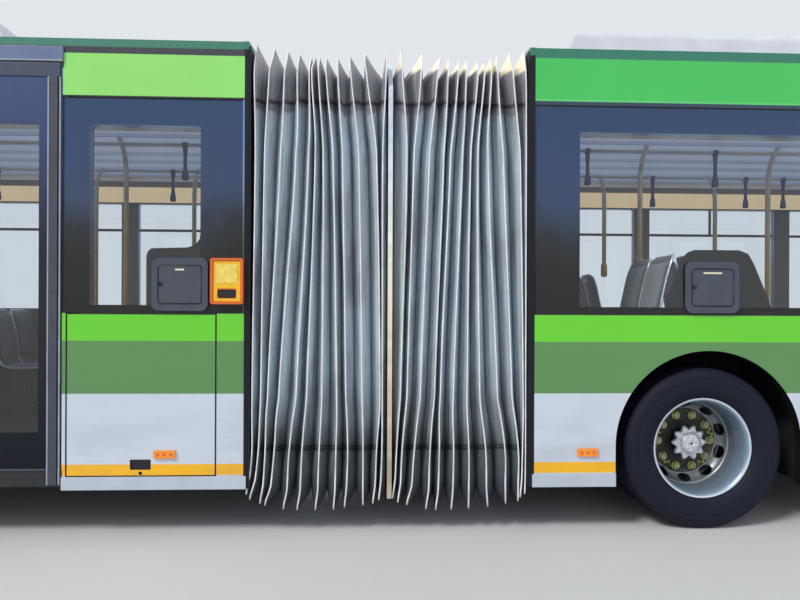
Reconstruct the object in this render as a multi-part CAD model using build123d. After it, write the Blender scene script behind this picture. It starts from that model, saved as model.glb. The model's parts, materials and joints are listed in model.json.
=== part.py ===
from build123d import *
import os
from math import cos, pi, sin

# An 18 m low-floor articulated bus, in millimetres.
# +X is its front, +Y its left side and +Z is up. The ground is z = 0, under the middle of the bus.

# Overall sizes
bus_length = 17940
bus_width = 2550
front_overhang = 2705
front_wheelbase = bus_length * 0.326310
rear_wheelbase = bus_length * 0.336455
half_width = bus_width / 2
nose_x = bus_length / 2
tail_x = -bus_length / 2
front_axle_x = nose_x - front_overhang
middle_axle_x = front_axle_x - front_wheelbase
drive_axle_x = middle_axle_x - rear_wheelbase

# Heights above the ground
skirt_z = 270
floor_z = 370
waist_z = 1271
window_low_z = 1316
window_high_z = 2336
glazing_high_z = 2492
ceiling_z = 2500
cornice_z = 2780
rail_z = 2820
crown_z = 2905
pod_z = 3080

# The joint between the two sections
joint_behind_axle = 1871
joint_half_gap = 801
portal_depth = 40
joint_x = middle_axle_x - joint_behind_axle
front_portal_x = joint_x + joint_half_gap
rear_portal_x = joint_x - joint_half_gap
front_body_x = front_portal_x + portal_depth
rear_body_x = rear_portal_x - portal_depth

# Walls, glass and panels
wall = 60
glass = 6
panel_gap = 6
liner = 20
inner_y = half_width - wall
cap_length = 470
front_cap_x = nose_x - cap_length
tail_cap = 160
tail_body_x = tail_x + tail_cap

# Tyres and rims: 275/70 R22.5
tyre_radius = 478.5
tyre_half = 138
bead_radius = 285
flange_radius = 298
rim_half = 105
disc_offset = 155
disc_thick = 14
twin_spacing = 311
tyre_inset = 20
hub_radius = 130
nose_radius = 90
spindle_radius = 45
spindle_fit = 0.08
seat_gap = 0.3
hand_holes = 10
hole_ring = 230
hole_radius = 31
wheel_y = half_width - tyre_inset - tyre_half
front_wheel_y = wheel_y - 30
inner_wheel_y = wheel_y - twin_spacing
wheel_z = tyre_radius
disc_y = wheel_y - twin_spacing / 2

# The axle beams drop inside the tyres, and the wheel wells reach over them
drop_clear = 18
well_overlap = 70
drop_y = inner_wheel_y - tyre_half - drop_clear
well_y = drop_y - well_overlap

# Wheel arches
arch_radius = 557
arch_lead = 8
arch_z = 504
steer_arch_radius = 580
well_half = 600

# Steering
kingpin_inset = 70
kingpin_y = front_wheel_y - kingpin_inset
kingpin_radius = 22

# Doors: opening's rear and front edge
door_width = 1300
door_low_z = 289
door_high_z = 2680
door_clear_low = 593
door_border = 60
leaf_thick = 40
front_door_x = front_axle_x + 735
door_behind_axle = 3615
middle_door_x = front_axle_x - door_behind_axle
rear_arch_x = drive_axle_x + arch_lead + arch_radius
rear_door_share = 0.30843
rear_door_x = rear_arch_x + rear_door_share * (rear_body_x - rear_arch_x - door_width)

os.makedirs("parts", exist_ok=True)


# Small makers
def block(x0, x1, y0, y1, z0, z1):
    middle = Pos((x0 + x1) / 2, (y0 + y1) / 2, (z0 + z1) / 2)
    return middle * Box(abs(x1 - x0), abs(y1 - y0), abs(z1 - z0))


def rod_x(x0, x1, y, z, radius):
    return Pos((x0 + x1) / 2, y, z) * Rot(0, 90, 0) * Cylinder(radius, abs(x1 - x0))


def rod_y(x, y0, y1, z, radius):
    return Pos(x, (y0 + y1) / 2, z) * Rot(90, 0, 0) * Cylinder(radius, abs(y1 - y0))


def rod_z(x, y, z0, z1, radius):
    return Pos(x, y, (z0 + z1) / 2) * Cylinder(radius, abs(z1 - z0))


def other_side(shape):
    return mirror(shape, about=Plane.XZ)


def both_sides(shape):
    return [shape, other_side(shape)]


def save(name, *pieces):
    solids = []
    for piece in pieces:
        solids += list(piece.solids())
    export_step(Compound(solids), f"parts/{name}.step")


def plate_y(x0, x1, z0, z1, corner, y0, y1):
    sketch = RectangleRounded(x1 - x0, z1 - z0, corner)
    solid = Rot(90, 0, 0) * extrude(sketch, amount=abs(y1 - y0) / 2, both=True)
    return Pos((x0 + x1) / 2, (y0 + y1) / 2, (z0 + z1) / 2) * solid


def prism_y(points, y0, y1):
    face = make_face(Polyline([(x, 0, z) for x, z in points], close=True))
    solid = extrude(face, amount=y1 - y0, dir=(0, 1, 0))
    return Pos(0, y0, 0) * solid


def prism_x(points, x0, x1):
    face = make_face(Polyline([(0, y, z) for y, z in points], close=True))
    solid = extrude(face, amount=x1 - x0, dir=(1, 0, 0))
    return Pos(x0, 0, 0) * solid


# Side windows: a row fills each stretch between ends and doors
window_corner = 14
window_post = 160
pillar_joint = 6
front_end_post = 265
rear_end_post = 241
cap_post = 140
tail_post = 150
door_front_post = 150
door_rear_post = 170
front_doors = [front_door_x, middle_door_x]
rear_doors = [rear_door_x]


def window_row(x0, x1, shares):
    # Each window's rear and front edge. Shares are the windows' widths against each other.
    room = x1 - x0 - window_post * (len(shares) - 1)
    windows = []
    low = x0
    for share in shares:
        high = low + room * share / sum(shares)
        windows.append((low, high))
        low = high + window_post
    return windows


front_right_windows = window_row(front_body_x + front_end_post, middle_door_x - door_rear_post,
                                 [1.39, 1.28])
front_right_windows += window_row(middle_door_x + door_width + door_rear_post,
                                  front_door_x - door_front_post, [1.23, 1.35])
front_left_windows = window_row(front_body_x + front_end_post, front_cap_x - cap_post,
                                [1.39, 1.28, 1.32, 1.23, 1.35, 1.30])
rear_right_windows = window_row(tail_body_x + tail_post, rear_door_x - door_rear_post, [1.16, 1.2, 1.2])
rear_right_windows += window_row(rear_door_x + door_width + door_front_post,
                                 rear_body_x - rear_end_post, [1])
rear_left_windows = window_row(tail_body_x + tail_post, rear_body_x - rear_end_post,
                               [1.88, 1.22, 1.22, 1.32])

# Lower side lid on the rear section, hinged at the waist: rear and front edge
lid_rear_x = rear_door_x + door_width + 29
lid_front_x = rear_body_x - 154
lid_low_z = 350
lid_thick = 28
lid_gap = 9
lid_pin = 4
lid_pin_fit = 0.1
pin_inset = 6
pin_reach = 12


def pane_edges(windows, doors, x0, x1):
    # A pane reaches half way to the next opening, or to a door or a section's end.
    stops = [x0, x1]
    for door in doors:
        stops += [door, door + door_width]
    edges = []
    opened = sorted(windows)
    for index, (low, high) in enumerate(opened):
        back = max(s for s in stops if s <= low)
        fore = min(s for s in stops if s >= high)
        if index > 0 and opened[index - 1][1] > back:
            back = (opened[index - 1][1] + low) / 2
        if index < len(opened) - 1 and opened[index + 1][0] < fore:
            fore = (high + opened[index + 1][0]) / 2
        edges.append((back + pillar_joint / 2, fore - pillar_joint / 2))
    return edges


def side_wall(x0, x1, windows, doors, arches):
    # Built on the left, at y = inner_y to half_width
    shape = block(x0, x1, inner_y, half_width, skirt_z, cornice_z)
    shape -= block(x0, x1, half_width - glass, half_width + glass, waist_z, glazing_high_z)
    for low, high in windows:
        shape -= plate_y(low, high, window_low_z, window_high_z, window_corner,
                         inner_y - wall, half_width + wall)
    for door in doors:
        shape -= block(door, door + door_width, inner_y - wall, half_width + wall,
                       skirt_z - wall, door_high_z)
    for axle, radius in arches:
        # Round above its middle, upright below it
        middle = axle + arch_lead
        shape -= rod_y(middle, inner_y - wall, half_width + wall, arch_z, radius)
        shape -= block(middle - radius, middle + radius, inner_y - wall, half_width + wall,
                       skirt_z - wall, arch_z)
    return shape


def side_panes(windows, doors, x0, x1):
    panes = []
    for back, fore in pane_edges(windows, doors, x0, x1):
        panes.append(block(back, fore, half_width - glass, half_width, waist_z, glazing_high_z))
    return panes


def door_leaves(door):
    # Two leaves in a doorway, on the left, each a frame with its glazed opening
    leaves = []
    half = door_width / 2
    for low, high in [(door, door + half - seat_gap), (door + half + seat_gap, door + door_width)]:
        leaf = block(low, high, half_width - leaf_thick, half_width, door_low_z, door_high_z)
        leaf -= block(low + 2 * door_border, high - door_border, inner_y - wall, half_width + wall,
                      door_clear_low, window_high_z)
        leaves.append(leaf)
    return leaves


def door_panes(door):
    panes = []
    half = door_width / 2
    for low, high in [(door, door + half - seat_gap), (door + half + seat_gap, door + door_width)]:
        panes.append(block(low + 2 * door_border, high - door_border,
                           half_width - 2 * glass, half_width - glass,
                           door_clear_low, window_high_z))
    return panes


front_arches = [(middle_axle_x, arch_radius), (front_axle_x, steer_arch_radius)]
rear_arches = [(drive_axle_x, arch_radius)]

front_left = side_wall(front_body_x, front_cap_x, front_left_windows, [], front_arches)
front_right = side_wall(front_body_x, front_cap_x, front_right_windows, front_doors, front_arches)
rear_left = side_wall(tail_body_x, rear_body_x, rear_left_windows, [], rear_arches)
rear_right = side_wall(tail_body_x, rear_body_x, rear_right_windows, rear_doors, rear_arches)

# The lid's opening keeps the wall's inner layer behind it. Its pin lies close to the skin.
lid_top_z = waist_z - lid_gap
pin_y = half_width - pin_inset
pin_z = lid_top_z - lid_pin
rear_right -= block(lid_rear_x - lid_gap, lid_front_x + lid_gap, half_width - lid_thick - lid_gap,
                    half_width + wall, lid_low_z - lid_gap, waist_z)
for end, way in [(lid_rear_x - lid_gap, -1), (lid_front_x + lid_gap, 1)]:
    rear_right -= rod_x(end - way, end + way * (pin_reach + 1), pin_y, pin_z, lid_pin + lid_pin_fit)
side_lid = block(lid_rear_x, lid_front_x, half_width - lid_thick, half_width, lid_low_z, lid_top_z)
side_lid += rod_x(lid_rear_x - lid_gap - pin_reach, lid_front_x + lid_gap + pin_reach, pin_y, pin_z,
                  lid_pin)

# A hand recess low in the lid, with the lock under it
handle_inset = 351
handle_long = 117
handle_low_z = 381
handle_high_z = 440
handle_deep = 14
handle_corner = 8
lock_radius = 10
lock_drop = 19
side_lid -= plate_y(lid_rear_x + handle_inset, lid_rear_x + handle_inset + handle_long,
                    handle_low_z, handle_high_z, handle_corner, half_width - handle_deep, half_width + 1)
side_lid -= rod_y(lid_rear_x + handle_inset + handle_long / 2, half_width - handle_deep, half_width + 1,
                  handle_low_z - lock_drop, lock_radius)

save("front_wall_left", front_left)
save("front_wall_right", other_side(front_right))
save("rear_wall_left", rear_left)
save("rear_wall_right", other_side(rear_right))
save("side_lid", other_side(side_lid))

# Floors: a low floor on longerons, with a wheel well over each axle end
beam_half = 45
beam_y = 480
beam_low_z = 280
well_top_z = 1060
podium_z = 1180
podium_x = drive_axle_x - 1475
mid_floor_half = 200


def wheel_well(axle, y, radius):
    # An open box over the wheel, on the left
    x0 = axle + arch_lead - well_half
    x1 = axle + arch_lead + well_half
    shell = block(x0 - liner, x1 + liner, y - liner, inner_y, skirt_z, well_top_z + liner)
    return shell - block(x0, x1, y, inner_y + wall, skirt_z - wall, well_top_z)


def section_floor(x0, x1, wells):
    shape = block(x0, x1, -inner_y, inner_y, skirt_z, floor_z)
    for axle, y, radius in wells:
        for side in (1, -1):
            low = axle + arch_lead - well_half
            high = axle + arch_lead + well_half
            shape -= block(low, high, side * y, side * (inner_y + wall), skirt_z - wall, floor_z + wall)
    for axle, y, radius in wells:
        for well in both_sides(wheel_well(axle, y, radius)):
            shape += well
    return shape


front_floor = section_floor(front_body_x, front_cap_x,
                            [(middle_axle_x, well_y, arch_radius),
                             (front_axle_x, well_y, steer_arch_radius)])
rear_floor = section_floor(tail_body_x, rear_body_x, [(drive_axle_x, well_y, arch_radius)])
rear_floor += block(tail_body_x, podium_x, -inner_y, inner_y, podium_z - liner, podium_z)
rear_floor += block(podium_x - liner, podium_x, -inner_y, inner_y, floor_z, podium_z)
save("front_floor", front_floor)
save("rear_floor", rear_floor)

# Roofs: one profile, from the ceiling's coves to the crown, with an air duct along it
cove_width = 265
duct_inset = 75
cove_y = inner_y - cove_width
cove_z = 2580
duct_half = inner_y - duct_inset
duct_wall = 50
duct_crown = 2815


def section_roof(x0, x1):
    lower = Polyline((half_width, rail_z), (half_width, cornice_z), (inner_y, cornice_z),
                     (inner_y, cove_z), (cove_y, ceiling_z), (-cove_y, ceiling_z),
                     (-inner_y, cove_z), (-inner_y, cornice_z), (-half_width, cornice_z),
                     (-half_width, rail_z))
    upper = ThreePointArc((-half_width, rail_z), (0, crown_z), (half_width, rail_z))
    profile = make_face(lower + upper)
    solid = extrude(Plane.YZ * profile, amount=x1 - x0)
    return Pos(x0, 0, 0) * solid


def hollow_roof(x0, x1):
    half = [(cove_y - duct_wall, ceiling_z + duct_wall), (duct_half, cove_z + duct_wall),
            (duct_half, duct_crown - duct_wall), (duct_half / 2, duct_crown)]
    outline = half + [(-y, z) for y, z in reversed(half)]
    return section_roof(x0, x1) - prism_x(outline, x0 - 1, x1 + 1)


save("front_roof", hollow_roof(front_body_x, front_cap_x))
save("rear_roof", hollow_roof(tail_body_x, rear_body_x))

# Roof pods: rear edge, front edge
pod_inset = 295
pod_half = half_width - pod_inset
pod_slope = 110
pod_base_z = 2830
pod_round = 60
pod_start = 239
pod_before_door = 50
pod_after_door = 450
pod_over_front_door = 600
pod_over_rear_door = 840
pod_over_engine = 200
front_pods = [(front_body_x + pod_start, middle_door_x - pod_before_door),
              (middle_door_x + door_width + pod_after_door, front_door_x + pod_over_front_door)]
rear_pods = [(podium_x - pod_over_engine, rear_door_x + pod_over_rear_door)]


def roof_pod(x0, x1):
    # A closed housing seated on the roof's crown, which its underside follows
    outer = prism_y([(x0, pod_base_z), (x0 + pod_slope, pod_z), (x1 - pod_slope, pod_z),
                     (x1, pod_base_z)], -pod_half, pod_half)
    outer = fillet(outer.faces().sort_by(Axis.Z)[-1].edges(), radius=pod_round)
    return outer - section_roof(x0 - 1, x1 + 1)


save("front_pods", *[roof_pod(x0, x1) for x0, x1 in front_pods])
save("rear_pods", *[roof_pod(x0, x1) for x0, x1 in rear_pods])

# Front end: a shell whose plan is a wide arc with round corners, raked above the bumper
cap_corner = 260
nose_bulge = 130
cap_thick = 50
screen_low_z = 1060
screen_high_z = 2330
screen_glass = 8
screen_side = half_width - 155
screen_depth = 330


def cap_plan(offset, length, corner, bulge):
    # Plan outline of an end, from its open side at x = 0 to its tip at x = length
    side = half_width - offset
    tip = length - offset
    corner_x = tip - bulge
    edges = [Line((0, -side), (corner_x - corner + offset, -side)),
             Line((0, side), (corner_x - corner + offset, side)),
             Line((0, -side), (0, side))]
    bend = corner - offset
    edges.append(ThreePointArc((corner_x - bend, side),
                               (corner_x - bend * (1 - sin(pi / 4)), side - bend * (1 - cos(pi / 4))),
                               (corner_x, side - bend)))
    edges.append(ThreePointArc((corner_x - bend, -side),
                               (corner_x - bend * (1 - sin(pi / 4)), -side + bend * (1 - cos(pi / 4))),
                               (corner_x, -side + bend)))
    edges.append(ThreePointArc((corner_x, side - bend), (tip, 0), (corner_x, -side + bend)))
    return make_face(edges)


def cap_shell(length, corner, bulge, z0, z1, thick):
    outer = extrude(cap_plan(0, length, corner, bulge), amount=z1 - z0)
    inner = extrude(cap_plan(thick, length, corner, bulge), amount=z1 - z0)
    return Pos(0, 0, z0) * (outer - inner)


cap = cap_shell(cap_length, cap_corner, nose_bulge, skirt_z, rail_z, cap_thick)
opening = block(screen_glass, cap_length + 1, -screen_side, screen_side, screen_low_z, screen_high_z)
opening &= block(cap_length - screen_depth, cap_length + 1, -screen_side, screen_side,
                 screen_low_z, screen_high_z)
sheet = cap_shell(cap_length, cap_corner, nose_bulge, screen_low_z, screen_high_z, screen_glass)
screen = sheet & opening
cap -= opening
cap += block(0, cap_length - nose_bulge - cap_thick, -inner_y, inner_y, skirt_z, floor_z) & extrude(
    cap_plan(cap_thick, cap_length, cap_corner, nose_bulge), amount=rail_z)
cap_lid = extrude(cap_plan(0, cap_length, cap_corner, nose_bulge), amount=rail_z - cornice_z)
cap += Pos(0, 0, cornice_z) * cap_lid


def skin_patch(plan_values, proud, y0, y1, z0, z1):
    # A piece that follows an end's skin: proud of it, or where proud is negative, a cut into it
    low = extrude(cap_plan(min(0, -proud), *plan_values), amount=z1 - z0)
    high = extrude(cap_plan(max(0, -proud), *plan_values), amount=z1 - z0)
    patch = Pos(0, 0, z0) * (low - high)
    return patch & block(1, plan_values[0] + abs(proud) + 1, y0, y1, z0, z1)


nose_plan = (cap_length, cap_corner, nose_bulge)
display_half = half_width - 415
display_low_z = 2385
display_high_z = 2660
groove = 8
groove_high = 10
bumper_z = 545
grille_half = 520
grille_low_z = 800
grille_bars = 5
grille_pitch = 42
grille_slot = 22
cap -= skin_patch(nose_plan, -2 * groove, -display_half, display_half, display_low_z, display_high_z)
cap -= skin_patch(nose_plan, -groove, -half_width, half_width, bumper_z, bumper_z + groove_high)
for index in range(grille_bars):
    low = grille_low_z + grille_pitch * index
    cap -= skin_patch(nose_plan, -2 * groove, -grille_half, grille_half, low, low + grille_slot)
save("nose", Pos(front_cap_x, 0, 0) * cap)
save("windscreen", Pos(front_cap_x, 0, 0) * screen)

# Tail: a shell with a window and the engine lid's opening
tail_corner = 140
tail_bulge = 1.5
tail_window_half = half_width - 325
tail_window_low = 1560
engine_lid_half = half_width - 375
engine_lid_low = 420
engine_lid_high = 1400
tail_thick = 50
tail_shell = cap_shell(tail_cap, tail_corner, tail_bulge, skirt_z, rail_z, tail_thick)
tail_hole = block(tail_cap - tail_thick - tail_bulge, tail_cap + 1, -tail_window_half, tail_window_half,
                  tail_window_low, window_high_z)
tail_pane = cap_shell(tail_cap, tail_corner, tail_bulge, tail_window_low, window_high_z, glass) & tail_hole
lid_hole = block(tail_cap - tail_thick - tail_bulge, tail_cap + 1, -engine_lid_half - lid_gap,
                 engine_lid_half + lid_gap, engine_lid_low - lid_gap, engine_lid_high)
engine_lid = cap_shell(tail_cap, tail_corner, tail_bulge, engine_lid_low, engine_lid_high - lid_gap,
                       lid_thick)
engine_lid &= block(0, tail_cap + 1, -engine_lid_half, engine_lid_half, engine_lid_low, engine_lid_high)
tail_shell -= tail_hole
tail_shell -= lid_hole
tail_roof = extrude(cap_plan(0, tail_cap, tail_corner, tail_bulge), amount=rail_z - cornice_z)
tail_shell += Pos(0, 0, cornice_z) * tail_roof
engine_pin_x = tail_cap - tail_bulge - pin_inset
engine_pin_z = engine_lid_high - lid_gap - lid_pin
pin_end = engine_lid_half + lid_gap + pin_reach
engine_lid += rod_y(engine_pin_x, -pin_end, pin_end, engine_pin_z, lid_pin)
for way in (1, -1):
    tail_shell -= rod_y(engine_pin_x, way * engine_lid_half, way * (pin_end + 1), engine_pin_z,
                        lid_pin + lid_pin_fit)


def to_tail(shape):
    return Pos(tail_body_x, 0, 0) * Rot(0, 0, 180) * shape


# The engine lid's louvres
louvre_half = engine_lid_half - 200
louvre_low_z = 640
louvre_pitch = 55
louvre_slot = 24
louvres = 10
tail_plan = (tail_cap, tail_corner, tail_bulge)
for index in range(louvres):
    low = louvre_low_z + louvre_pitch * index
    engine_lid -= skin_patch(tail_plan, -2 * groove, -louvre_half, louvre_half, low, low + louvre_slot)
save("tail", to_tail(tail_shell))
save("engine_lid", to_tail(engine_lid))

# Glass: side panes and door panes of each section
front_panes = side_panes(front_left_windows, [], front_body_x, front_cap_x)
right_panes = side_panes(front_right_windows, front_doors, front_body_x, front_cap_x)
for door in front_doors:
    right_panes += door_panes(door)
save("front_windows", *front_panes, *[other_side(p) for p in right_panes])
rear_panes = side_panes(rear_left_windows, [], tail_body_x, rear_body_x)
right_rear_panes = side_panes(rear_right_windows, rear_doors, tail_body_x, rear_body_x)
for door in rear_doors:
    right_rear_panes += door_panes(door)
save("rear_windows", to_tail(tail_pane), *rear_panes, *[other_side(p) for p in right_rear_panes])

# Doors: each a pair of leaves
save("front_door", *[other_side(leaf) for leaf in door_leaves(front_door_x)])
save("middle_door", *[other_side(leaf) for leaf in door_leaves(middle_door_x)])
save("rear_door", *[other_side(leaf) for leaf in door_leaves(rear_door_x)])

# Portals: the rings that carry the bellows
portal_inner_y = half_width - 325
portal_high_z = 2350
portal_half = half_width - 5
portal_top = rail_z - 20


def portal(x0, x1):
    ring = block(x0, x1, -portal_half, portal_half, skirt_z, portal_top)
    return ring - block(x0 - 1, x1 + 1, -portal_inner_y, portal_inner_y, floor_z, portal_high_z)


save("front_portal", portal(front_portal_x, front_body_x))
save("rear_portal", portal(rear_body_x, rear_portal_x))

# Turntable: the front half's disc carries the rear half's, on one pin
table_radius = 420
arm_half = 300
base_low_z = 170
base_high_z = 200
ring_low_z = 206
ring_high_z = 224
ring_radius = 160
head_low_z = 230
head_high_z = 262
table_pin = 60
table_fit = 0.1
platform_radius = 770
platform_high_z = floor_z
platform_low_z = 300
drop_low_z = base_low_z
arm_seat = 120

turntable_base = rod_z(joint_x, 0, base_low_z, base_high_z, table_radius)
turntable_base += block(joint_x, front_body_x + arm_seat, -arm_half, arm_half, base_low_z, base_high_z)
turntable_base += block(front_body_x, front_body_x + arm_seat, -arm_half, arm_half, base_low_z, skirt_z)
turntable_base += rod_z(joint_x, 0, base_low_z, head_high_z + panel_gap, table_pin)
save("turntable_base", turntable_base)

turntable_head = rod_z(joint_x, 0, head_low_z, head_high_z, table_radius)
turntable_head += block(rear_body_x - arm_seat, joint_x, -arm_half, arm_half, head_low_z, head_high_z)
turntable_head += block(rear_body_x - arm_seat, rear_body_x, -arm_half, arm_half, head_low_z, skirt_z)
turntable_head -= rod_z(joint_x, 0, head_low_z - 1, head_high_z + 1, table_pin + table_fit)
platform_stem = table_radius / 2
turntable_head += (rod_z(joint_x, 0, head_high_z, platform_low_z, platform_stem)
                   - rod_z(joint_x, 0, head_high_z - 1, platform_low_z + 1, table_pin + panel_gap))
turntable_head += rod_z(joint_x, 0, platform_low_z, platform_high_z, platform_radius)
save("turntable_head", turntable_head)

# Bellows: two pleated hoods, open below. Flat strips run from each valley's ring to a crest's ring.
folds = 12
bellows_wall = 5
crest_half = half_width - 10
crest_top = 2790
crest_low = 150
crest_toe = 70
valley_half = half_width - 165
valley_top = 2690
valley_low = 300
valley_toe = 15
toe_slope = 2
crest_corner = 36
valley_corner = 90
hoop_corner = 230
hoop_half = 13
bellows_gap = 0.3


def hood_ring(x, half, top, low, corner, toe, thick):
    # The fabric's section, which narrows at its feet. Matching edges of all rings are parallel.
    outer = [(half - toe, low), (half, low + toe_slope * toe), (half, top - corner), (half - corner, top)]
    inner = [(half - toe - thick, low), (half - thick, low + toe_slope * toe),
             (half - thick, top - corner - thick / 2), (half - corner - thick / 2, top - thick)]
    ring = outer + [(-y, z) for y, z in reversed(outer)]
    back = inner + [(-y, z) for y, z in reversed(inner)]
    return [(x, y, z) for y, z in ring + list(reversed(back))]


def flat_face(corners):
    return make_face(Polyline(corners, close=True))


def bellows_half(x0, x1):
    rings = []
    for index in range(2 * folds + 1):
        x = x0 + (x1 - x0) * index / (2 * folds)
        if index % 2:
            rings.append(hood_ring(x, crest_half, crest_top, crest_low, crest_corner, crest_toe,
                                   bellows_wall))
        else:
            rings.append(hood_ring(x, valley_half, valley_top, valley_low, valley_corner, valley_toe,
                                   bellows_wall))
    faces = [flat_face(rings[0]), flat_face(rings[-1])]
    for here, there in zip(rings, rings[1:]):
        for index in range(len(here)):
            after = (index + 1) % len(here)
            faces.append(flat_face([here[index], here[after], there[after], there[index]]))
    return Solid(Shell(faces))


save("bellows_front", bellows_half(joint_x + hoop_half + bellows_gap, front_portal_x - bellows_gap))
save("bellows_rear", bellows_half(rear_portal_x + bellows_gap, joint_x - hoop_half - bellows_gap))

# Middle hoop: turns half as far as the rear section
hoop_outer = half_width - 6
hoop_inner = half_width - 205
hoop_top = 2800
hoop_inner_top = 2590
hoop_foot = 206


def hoop_outline(half, top, corner):
    return [(half, hoop_foot), (half, top - corner), (half - corner, top), (corner - half, top),
            (-half, top - corner), (-half, hoop_foot)]


hoop = prism_x(hoop_outline(hoop_outer, hoop_top, hoop_corner), joint_x - hoop_half, joint_x + hoop_half)
hoop -= (prism_x(hoop_outline(hoop_inner, hoop_inner_top, valley_corner),
                 joint_x - wall, joint_x + wall)
         - block(joint_x - wall, joint_x + wall, -hoop_outer, hoop_outer, hoop_foot - 1, ring_high_z))
hoop += rod_z(joint_x, 0, ring_low_z, ring_high_z, ring_radius)
hoop -= rod_z(joint_x, 0, ring_low_z - 1, ring_high_z + 1, table_pin + table_fit)
save("middle_hoop", hoop)


# Wheels. Profiles are (radius, place across the wheel), revolved about the axle.
def turned(points):
    face = make_face(Polyline([(r, t, 0) for r, t in points], close=True))
    return revolve(face, axis=Axis.Y, revolution_arc=360)


def tyre():
    half = [(bead_radius + seat_gap, rim_half - 14), (flange_radius + 1, rim_half - 14),
            (400, tyre_half), (tyre_radius, tyre_half - 26)]
    return turned(half + [(r, -t) for r, t in reversed(half)])


def rim():
    # The disc lies towards +Y, disc_offset from the rim's middle.
    flat = disc_offset - disc_thick
    lip = rim_half - 13
    points = [(flange_radius, -rim_half), (bead_radius, -lip), (bead_radius, lip), (flange_radius, rim_half),
              (276, 84), (252, 130), (205, disc_offset), (75, disc_offset), (75, flat), (198, flat),
              (240, 118), (268, 66), (276, -rim_half)]
    shape = turned(points)
    for index in range(hand_holes):
        turn = Rot(0, 360 * index / hand_holes, 0)
        hole = Pos(hole_ring, disc_offset - 30, 0) * Rot(90, 0, 0) * Cylinder(hole_radius, 4 * hole_radius)
        shape -= turn * hole
    return shape


def at_wheel(shape, x, y):
    return Pos(x, y, wheel_z) * shape


turned_rim = Rot(180, 0, 0)


def hub(x, y0, y1, nose_end):
    body = rod_y(x, y0, y1, wheel_z, hub_radius) + rod_y(x, y1, nose_end, wheel_z, nose_radius)
    return body - rod_y(x, y0 - 1, nose_end - 20, wheel_z, spindle_radius + spindle_fit)


def save_wheel(name, x, twin, spindle_end):
    # Built on the left
    if twin:
        tyres = [at_wheel(tyre(), x, wheel_y), at_wheel(tyre(), x, inner_wheel_y)]
        rims = at_wheel(turned_rim * rim(), x, wheel_y) + at_wheel(rim(), x, inner_wheel_y)
        rims += hub(x, spindle_end, disc_y, disc_y + 75)
    else:
        tyres = [at_wheel(tyre(), x, front_wheel_y)]
        disc = front_wheel_y + disc_offset
        rims = at_wheel(rim(), x, front_wheel_y) + hub(x, spindle_end, disc, disc + 20)
    for side, place in [("left", 1), ("right", -1)]:
        save(f"{name}_tyre_{side}", *[t if place > 0 else other_side(t) for t in tyres])
        save(f"{name}_rim_{side}", rims if place > 0 else other_side(rims))


twin_hub_y = drop_y + 40
front_hub_y = kingpin_y + 110
save_wheel("front", front_axle_x, False, front_hub_y)
save_wheel("middle", middle_axle_x, True, twin_hub_y)
save_wheel("drive", drive_axle_x, True, twin_hub_y)

# Axles: a dropped beam under the floor, with a riser and a spindle at each end
drop_wall = 60
axle_low_z = 160
axle_high_z = 240
axle_half = 70
riser_top_z = 560
air_spring_radius = 110
air_spring_y = drop_y - 230


def dropped_axle(x, arms):
    beam = block(x - axle_half, x + axle_half, -drop_y, drop_y, axle_low_z, axle_high_z)
    for side in (1, -1):
        beam += block(x - axle_half, x + axle_half, side * (drop_y - drop_wall), side * drop_y,
                      axle_low_z, riser_top_z)
        beam += rod_z(x, side * air_spring_y, axle_high_z, skirt_z, air_spring_radius)
        beam += arms(side)
    return beam


def fixed_arm(x):
    def arm(side):
        return rod_y(x, side * (drop_y - 10), side * (disc_y + 40), wheel_z, spindle_radius)
    return arm


save("middle_axle", dropped_axle(middle_axle_x, fixed_arm(middle_axle_x)))
save("drive_axle", dropped_axle(drive_axle_x, fixed_arm(drive_axle_x)))

# Front axle: fists round the king pins, and the knuckles that turn on them
fist_half = 60
fist_gap = 0.5
knuckle_top = 130
pin_clear = 0.08


def steer_arm(side):
    # The fist is round about its king pin, so that the knuckle turns past it
    y0 = side * (drop_y - 10)
    y1 = side * kingpin_y
    arm = block(front_axle_x - fist_half, front_axle_x + fist_half, y0, y1,
                wheel_z - fist_half, wheel_z + fist_half)
    arm += rod_z(front_axle_x, y1, wheel_z - fist_half, wheel_z + fist_half, fist_half)
    return arm - rod_z(front_axle_x, side * kingpin_y, wheel_z - 2 * fist_half, wheel_z + 2 * fist_half,
                       kingpin_radius + pin_clear)


save("front_axle", dropped_axle(front_axle_x, steer_arm))


def knuckle():
    # On the left: a fork above and below the fist, its pin, and the spindle
    back_y = kingpin_y + fist_half + 12
    y1 = back_y + 22
    low = wheel_z - knuckle_top
    high = wheel_z + knuckle_top
    shape = block(front_axle_x - fist_half, front_axle_x + fist_half, back_y, y1, low, high)
    for z0, z1 in [(low, wheel_z - fist_half - fist_gap), (wheel_z + fist_half + fist_gap, high)]:
        shape += block(front_axle_x - fist_half, front_axle_x + fist_half, kingpin_y - fist_half, y1, z0, z1)
    shape += rod_z(front_axle_x, kingpin_y, low, high, kingpin_radius)
    shape += rod_y(front_axle_x, y1, front_hub_y + 100, wheel_z, spindle_radius)
    return shape


save("knuckle_left", knuckle())
save("knuckle_right", other_side(knuckle()))

# Engine: one plain block on two rails
engine_half = 480
engine_x0 = tail_body_x + 40
engine_x1 = podium_x - 250
engine_top_z = podium_z - liner - 60
save("engine", block(engine_x0, engine_x1, -engine_half, engine_half, floor_z, engine_top_z))

# Seats: pairs on a pedestal. Each row: section floor height, x of the seat's back, sides
seat_profile = [(0, 0), (340, 0), (340, 60), (420, 380), (420, 430), (40, 430), (-60, 930),
                (-110, 930), (-20, 380), (0, 60)]
seat_width = 600
box_drop = 370
seat_out_y = inner_y - 15
box_seats = [-600, 60]
row_pitch = 740
rear_row_pitch = 760


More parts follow.
